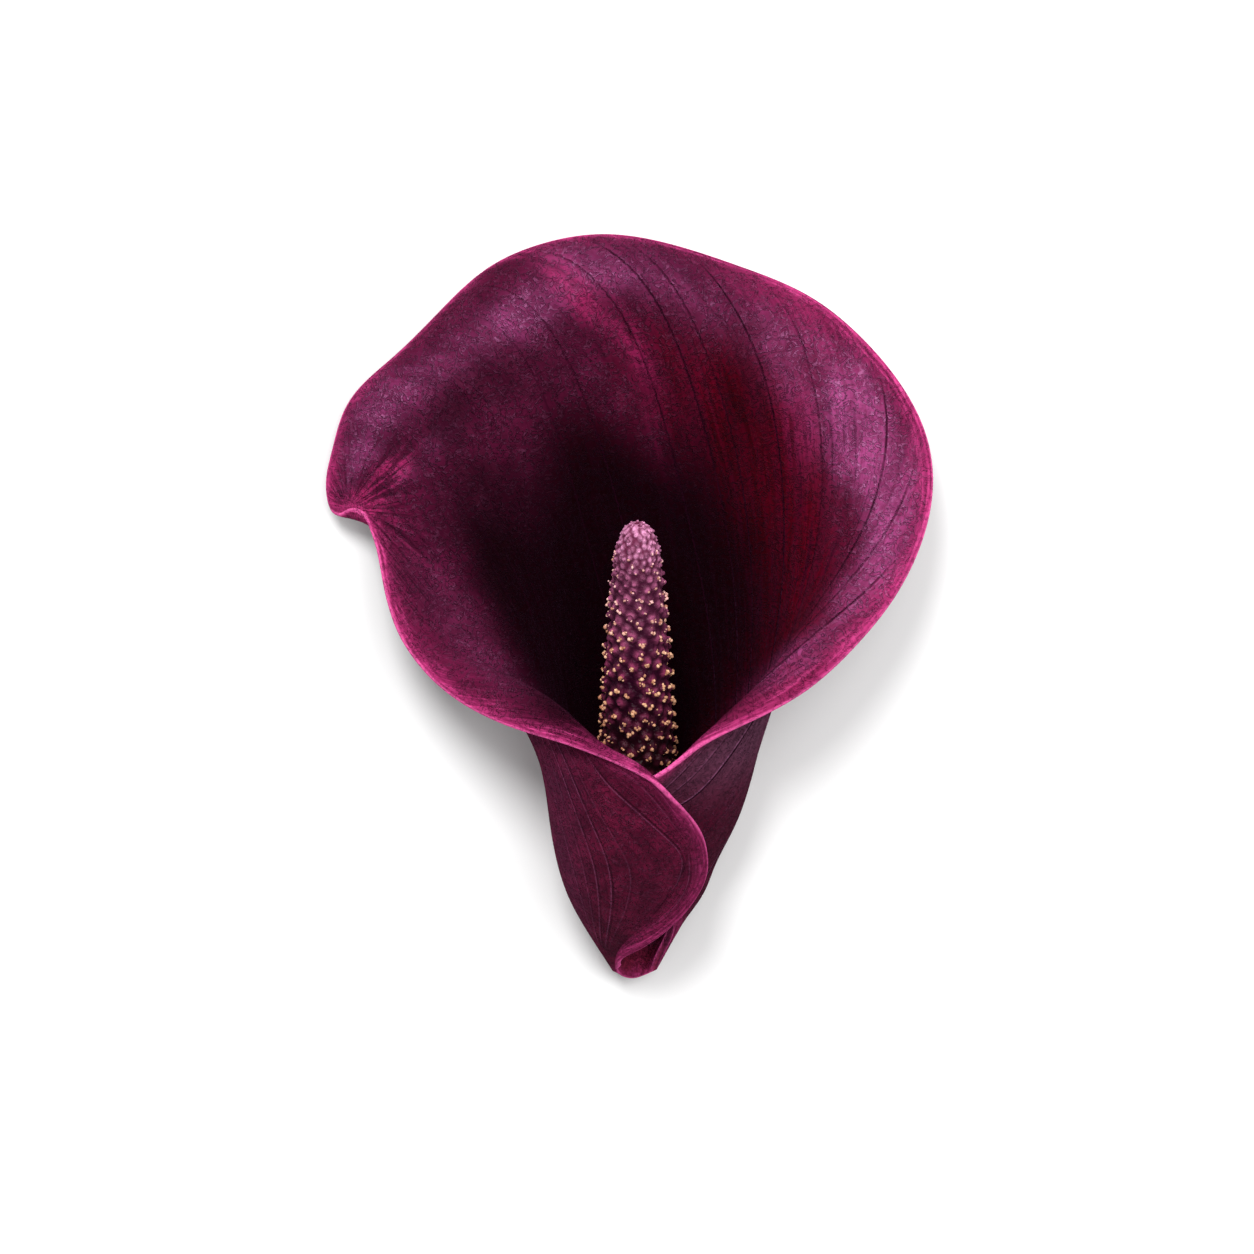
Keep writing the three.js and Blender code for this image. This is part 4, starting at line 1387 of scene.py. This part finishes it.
class PetalSettings(bpy.types.PropertyGroup):
    columns: count_setting("Columns", "Columns of points along the margin", 380)
    rows: count_setting("Rows", "Rows of points from foot to margin", 112)
    thickness: length_setting("Thickness", "Thickness of the sheet near the foot", 0.001)
    margin_thickness: length_setting("Margin Thickness", "Thickness of the sheet at its margin", 0.00066)
    rib_depth: length_setting("Rib Depth", "How far the sheet swells between two veins", 0.00012)
    inner_color: color_setting("Inside", "Inside of the funnel", (0.072, 0.0045, 0.024))
    inner_painted_shade: color_setting("Inside Blotches", "Darker blotches inside", (0.045, 0.003, 0.015))
    burgundy_color: color_setting("Red Inside", "Red wall of the funnel on the right", (0.1, 0.0006, 0.009))
    burgundy_painted_shade: color_setting("Red Fibres", "Darker fibres of the red wall", (0.048, 0.0002, 0.003))
    pink_color: color_setting("Pink Streaks", "Streaks inside", (0.25, 0.013, 0.075))
    # The lilac colour of the painted sheen on the ridges inside
    bloom_color: color_setting("Painted Sheen", "Lilac bloom on the ridges inside", (0.33, 0.052, 0.185))
    # Painted highlights on the puckers of the skin and beside the veins
    highlight_color: color_setting("Painted Highlights", "Puckers of the skin and edges of the veins", (0.5, 0.18, 0.38))
    # Near-black painted shade of the deep funnel, partly the throat's own dark colour
    throat_shade_color: color_setting("Throat", "Depth of the funnel", (0.003, 0.0001, 0.0005))
    outer_color: color_setting("Outside", "Outside of the roll", (0.12, 0.0075, 0.031))
    outer_painted_shade: color_setting("Outside Blotches", "Darker blotches outside", (0.056, 0.004, 0.015))
    # Painted grey sheen on the outside of the inner side of the roll
    flap_sheen_color: color_setting("Outside Right", "Outside of the inner side of the roll", (0.1, 0.034, 0.064))
    # Painted light inside the foot
    spout_light_color: color_setting("Spout", "Inside of the foot", (0.2, 0.016, 0.042))
    band_color: color_setting("Margin Band", "Bright band along the margin", (0.47, 0.034, 0.17))
    # Colour of the thin margin line, also used for the painted highlights in the band
    rim_color: color_setting("Margin Line", "Thin line on the margin itself", (0.82, 0.11, 0.36))
    # Dark colour of the veins, also used for the painted shade in the furrows
    vein_and_shade_color: color_setting("Veins", "Main and fine veins", (0.014, 0.001, 0.006))


class SpadixSettings(bpy.types.PropertyGroup):
    knob_spacing: length_setting("Knob Spacing", "Distance from one knob to the next", 0.0019)
    knob_width: length_setting("Knob Width", "Width of one knob", 0.00072)
    knob_height: length_setting("Knob Height", "How far a knob stands out", 0.0006)
    crumb_size: length_setting("Crumb Size", "Width of one crumb of pollen", 0.0004)
    pollen_amount: amount_setting("Pollen", "Share of knobs with pollen", 0.95)
    tip_color: color_setting("Tip", "Knobs at the tip", (0.62, 0.25, 0.43))
    # The hollow colours are painted shade between the knobs and on their undersides
    tip_hollow_shade: color_setting("Tip Hollows", "Between the knobs at the tip", (0.11, 0.015, 0.045))
    upper_color: color_setting("Upper", "Knobs near the tip", (0.36, 0.09, 0.19))
    upper_hollow_shade: color_setting("Upper Hollows", "Between the knobs near the tip", (0.055, 0.007, 0.025))
    middle_color: color_setting("Middle", "Knobs halfway up", (0.22, 0.03, 0.085))
    middle_hollow_shade: color_setting("Middle Hollows", "Between the knobs halfway up", (0.02, 0.001, 0.009))
    # The foot colours are darker partly as painted shade deep in the funnel
    foot_color: color_setting("Foot", "Knobs near the foot", (0.06, 0.006, 0.016))
    foot_hollow_shade: color_setting("Foot Hollows", "Between the knobs near the foot", (0.006, 0.0006, 0.001))
    pollen_tip: color_setting("Pollen Tip", "Crumbs near the tip", (0.75, 0.42, 0.42))
    pollen_color: color_setting("Pollen", "Crumbs halfway up", (0.76, 0.44, 0.26))
    pollen_painted_shade: color_setting("Pollen Dark", "Darkest crumbs", (0.3, 0.11, 0.06))


class StageSettings(bpy.types.PropertyGroup):
    floor_color: color_setting("Floor", "Plain pale floor", (0.9, 0.9, 0.9))
    floor_grain: color_setting("Floor Grain", "Faint grain of the floor", (0.85, 0.85, 0.85))
    key_power: power_setting("Key Light", "Soft light above the top left of the flower", 10.3)
    fill_power: power_setting("Fill Light", "Soft light above the right of the flower", 7)
    edge_power: power_setting("Edge Light", "Soft low light from behind the top", 3)
    sky: amount_setting("Sky", "Even light from all round", 0.45)
    camera_distance: length_setting("Camera Distance", "From the camera to the flower", 1.2)


# Stage and operators

# The camera: the photograph's width and how many of its pixels make a millimetre of the flower, the
# height in the flower's own frame where that holds, and the width of the sensor
PHOTO_PIXELS = 1254
PIXELS_PER_MM = 8
VIEW_WIDTH = PHOTO_PIXELS / PIXELS_PER_MM * MM
VIEW_PLANE = 15
SENSOR_WIDTH = 36

FLOOR_WIDTH = 6.0
LIGHT_AIM = (0.0, 5.0, 15.0)


class LILY_OT_spathe(bpy.types.Operator):
    """Make the rolled petal sheet"""

    bl_idname = "lily.spathe"
    bl_label = "Petal Sheet"

    def execute(self, context):
        petal = context.scene.lily_petal
        piece = new_piece("spathe_sheet", spathe_mesh(petal), petal_material(petal))
        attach(piece, "root")
        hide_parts("spathe")
        return {"FINISHED"}


class LILY_OT_spadix_core(bpy.types.Operator):
    """Make the skin of the spike under its knobs"""

    bl_idname = "lily.spadix_core"
    bl_label = "Spike"

    def execute(self, context):
        spadix = context.scene.lily_spadix
        piece = new_piece("spadix_core", spike_core_mesh(spadix), spike_material(spadix))
        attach(piece, "root")
        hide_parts("spadix")
        return {"FINISHED"}


class LILY_OT_spadix_knobs(bpy.types.Operator):
    """Set the knobs of the spike in a spiral"""

    bl_idname = "lily.spadix_knobs"
    bl_label = "Spike Knobs"

    def execute(self, context):
        spadix = context.scene.lily_spadix
        places = knob_places(spadix)
        scales = [knob_scale(height) for height, _, _ in places]
        depth = spadix.knob_height / MM
        found = [spike_point(place[0], place[1], depth * scale) for place, scale in zip(places, scales)]
        spots, outwards = zip(*found)
        rises = [rise_at(height) for height, _, _ in places]
        piece = scattered_piece(
            "spadix_knobs", points_mesh("knob_points", spots, outwards, rises, scales),
            ScatterBench("Knobs", 2).tree, material=spike_material(spadix),
            lump_size=(spadix.knob_width, spadix.knob_width, 2 * spadix.knob_height),
            size_spread=0.4, tilt=0.5,
        )
        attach(piece, "root")
        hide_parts("spadix")
        return {"FINISHED"}


class LILY_OT_pollen(bpy.types.Operator):
    """Sprinkle crumbs of pollen on the knobs"""

    bl_idname = "lily.pollen"
    bl_label = "Pollen Crumbs"

    def execute(self, context):
        spadix = context.scene.lily_spadix
        width = spadix.crumb_size
        piece = scattered_piece(
            "spadix_pollen", points_mesh("crumb_points", *pollen_places(spadix)),
            ScatterBench("Crumbs", 1).tree, material=pollen_material(spadix),
            lump_size=(width, 0.8 * width, 0.9 * width), size_spread=0.5, tilt=0.8,
        )
        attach(piece, "root")
        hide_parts("spadix")
        return {"FINISHED"}


class LILY_OT_stub(bpy.types.Operator):
    """Make the cut end of the stalk inside the roll"""

    bl_idname = "lily.stub"
    bl_label = "Stalk End"

    def execute(self, context):
        rings = []
        for part in np.linspace(0, 1, STUB_LEVELS):
            height, back, radius = (1 - part) * np.array(STUB_FOOT) + part * np.array(STUB_TOP)
            rings.append(lay(ring(axis_point(height, SPADIX_SHIFT, back), radius - STUB_INSET, STUB_SIDES)))
        material = stalk_material(context.scene.lily_petal)
        piece = new_piece("stalk_end", closed_loft("stalk_end", rings), material)
        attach(piece, "root")
        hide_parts("stalk_stub")
        return {"FINISHED"}


def add_light(name, power, size, place):
    """A round soft light at a place in the flower's own frame, aimed at the flower."""
    light = bpy.data.lights.new(name, "AREA")
    light.energy = power
    light.shape = "DISK"
    light.size = size
    lamp = bpy.data.objects.new(name, light)
    start, target = (Vector(point) for point in lay([place, LIGHT_AIM]))
    turn = (target - start).to_track_quat("-Z", "Y").to_matrix().to_4x4()
    lamp.matrix_world = Matrix.Translation(start) @ turn
    bpy.context.scene.collection.objects.link(lamp)


def add_sky(strength):
    """White light from all round."""
    world = bpy.data.worlds.new("studio")
    world.use_nodes = True
    background = world.node_tree.nodes["Background"]
    background.inputs["Color"].default_value = (1, 1, 1, 1)
    background.inputs["Strength"].default_value = strength
    bpy.context.scene.world = world


def add_camera(distance):
    """A camera square to the open mouth, at a distance in metres from the plane of the view."""
    lens = bpy.data.cameras.new("camera")
    lens.sensor_width = SENSOR_WIDTH
    lens.lens = SENSOR_WIDTH * distance / VIEW_WIDTH
    lens.clip_end = 10
    camera = bpy.data.objects.new("camera", lens)
    place = Vector(lay([(0, 0, VIEW_PLANE + distance / MM)])[0])
    camera.matrix_world = Matrix.Translation(place) @ lay_turn().to_4x4()
    bpy.context.scene.collection.objects.link(camera)
    bpy.context.scene.camera = camera


class LILY_OT_stage(bpy.types.Operator):
    """Set the floor, the lights and the camera"""

    bl_idname = "lily.stage"
    bl_label = "Floor, Lights and Camera"

    def execute(self, context):
        stage = context.scene.lily_stage
        half = FLOOR_WIDTH / 2
        mesh = bpy.data.meshes.new("floor")
        corners = [(-half, -half, 0), (half, -half, 0), (half, half, 0), (-half, half, 0)]
        mesh.from_pydata(corners, [], [(0, 1, 2, 3)])
        new_piece("floor", mesh, floor_material(stage))
        add_sky(stage.sky)
        add_light("key", stage.key_power, 0.35, (-160, 420, 1080))
        add_light("fill", stage.fill_power, 0.7, (350, 150, 1050))
        add_light("edge", stage.edge_power, 0.3, (-120, 700, 260))
        add_camera(stage.camera_distance)
        context.scene.view_settings.view_transform = "Standard"
        return {"FINISHED"}


class LILY_PT_panel(bpy.types.Panel):
    """Lists the pieces of the flower and their settings"""

    bl_idname = "LILY_PT_panel"
    bl_label = "Arum Lily"
    bl_space_type = "VIEW_3D"
    bl_region_type = "UI"
    bl_category = "Arum Lily"

    def draw(self, context):
        for settings in (context.scene.lily_petal, context.scene.lily_spadix, context.scene.lily_stage):
            box = self.layout.box()
            for name in settings.__annotations__:
                box.prop(settings, name)
        for operator in PIECES:
            self.layout.operator(operator.bl_idname)


PIECES = (
    LILY_OT_spathe, LILY_OT_spadix_core, LILY_OT_spadix_knobs, LILY_OT_pollen, LILY_OT_stub, LILY_OT_stage,
)
CLASSES = (PetalSettings, SpadixSettings, StageSettings) + PIECES + (LILY_PT_panel,)


def register():
    for cls in CLASSES:
        bpy.utils.register_class(cls)
    bpy.types.Scene.lily_petal = bpy.props.PointerProperty(type=PetalSettings)
    bpy.types.Scene.lily_spadix = bpy.props.PointerProperty(type=SpadixSettings)
    bpy.types.Scene.lily_stage = bpy.props.PointerProperty(type=StageSettings)


def unregister():
    del bpy.types.Scene.lily_petal
    del bpy.types.Scene.lily_spadix
    del bpy.types.Scene.lily_stage
    for cls in reversed(CLASSES):
        bpy.utils.unregister_class(cls)


def main():
    register()
    bpy.ops.lily.spathe()
    bpy.ops.lily.spadix_core()
    bpy.ops.lily.spadix_knobs()
    bpy.ops.lily.pollen()
    bpy.ops.lily.stub()
    bpy.ops.lily.stage()


if __name__ == "__main__":
    main()
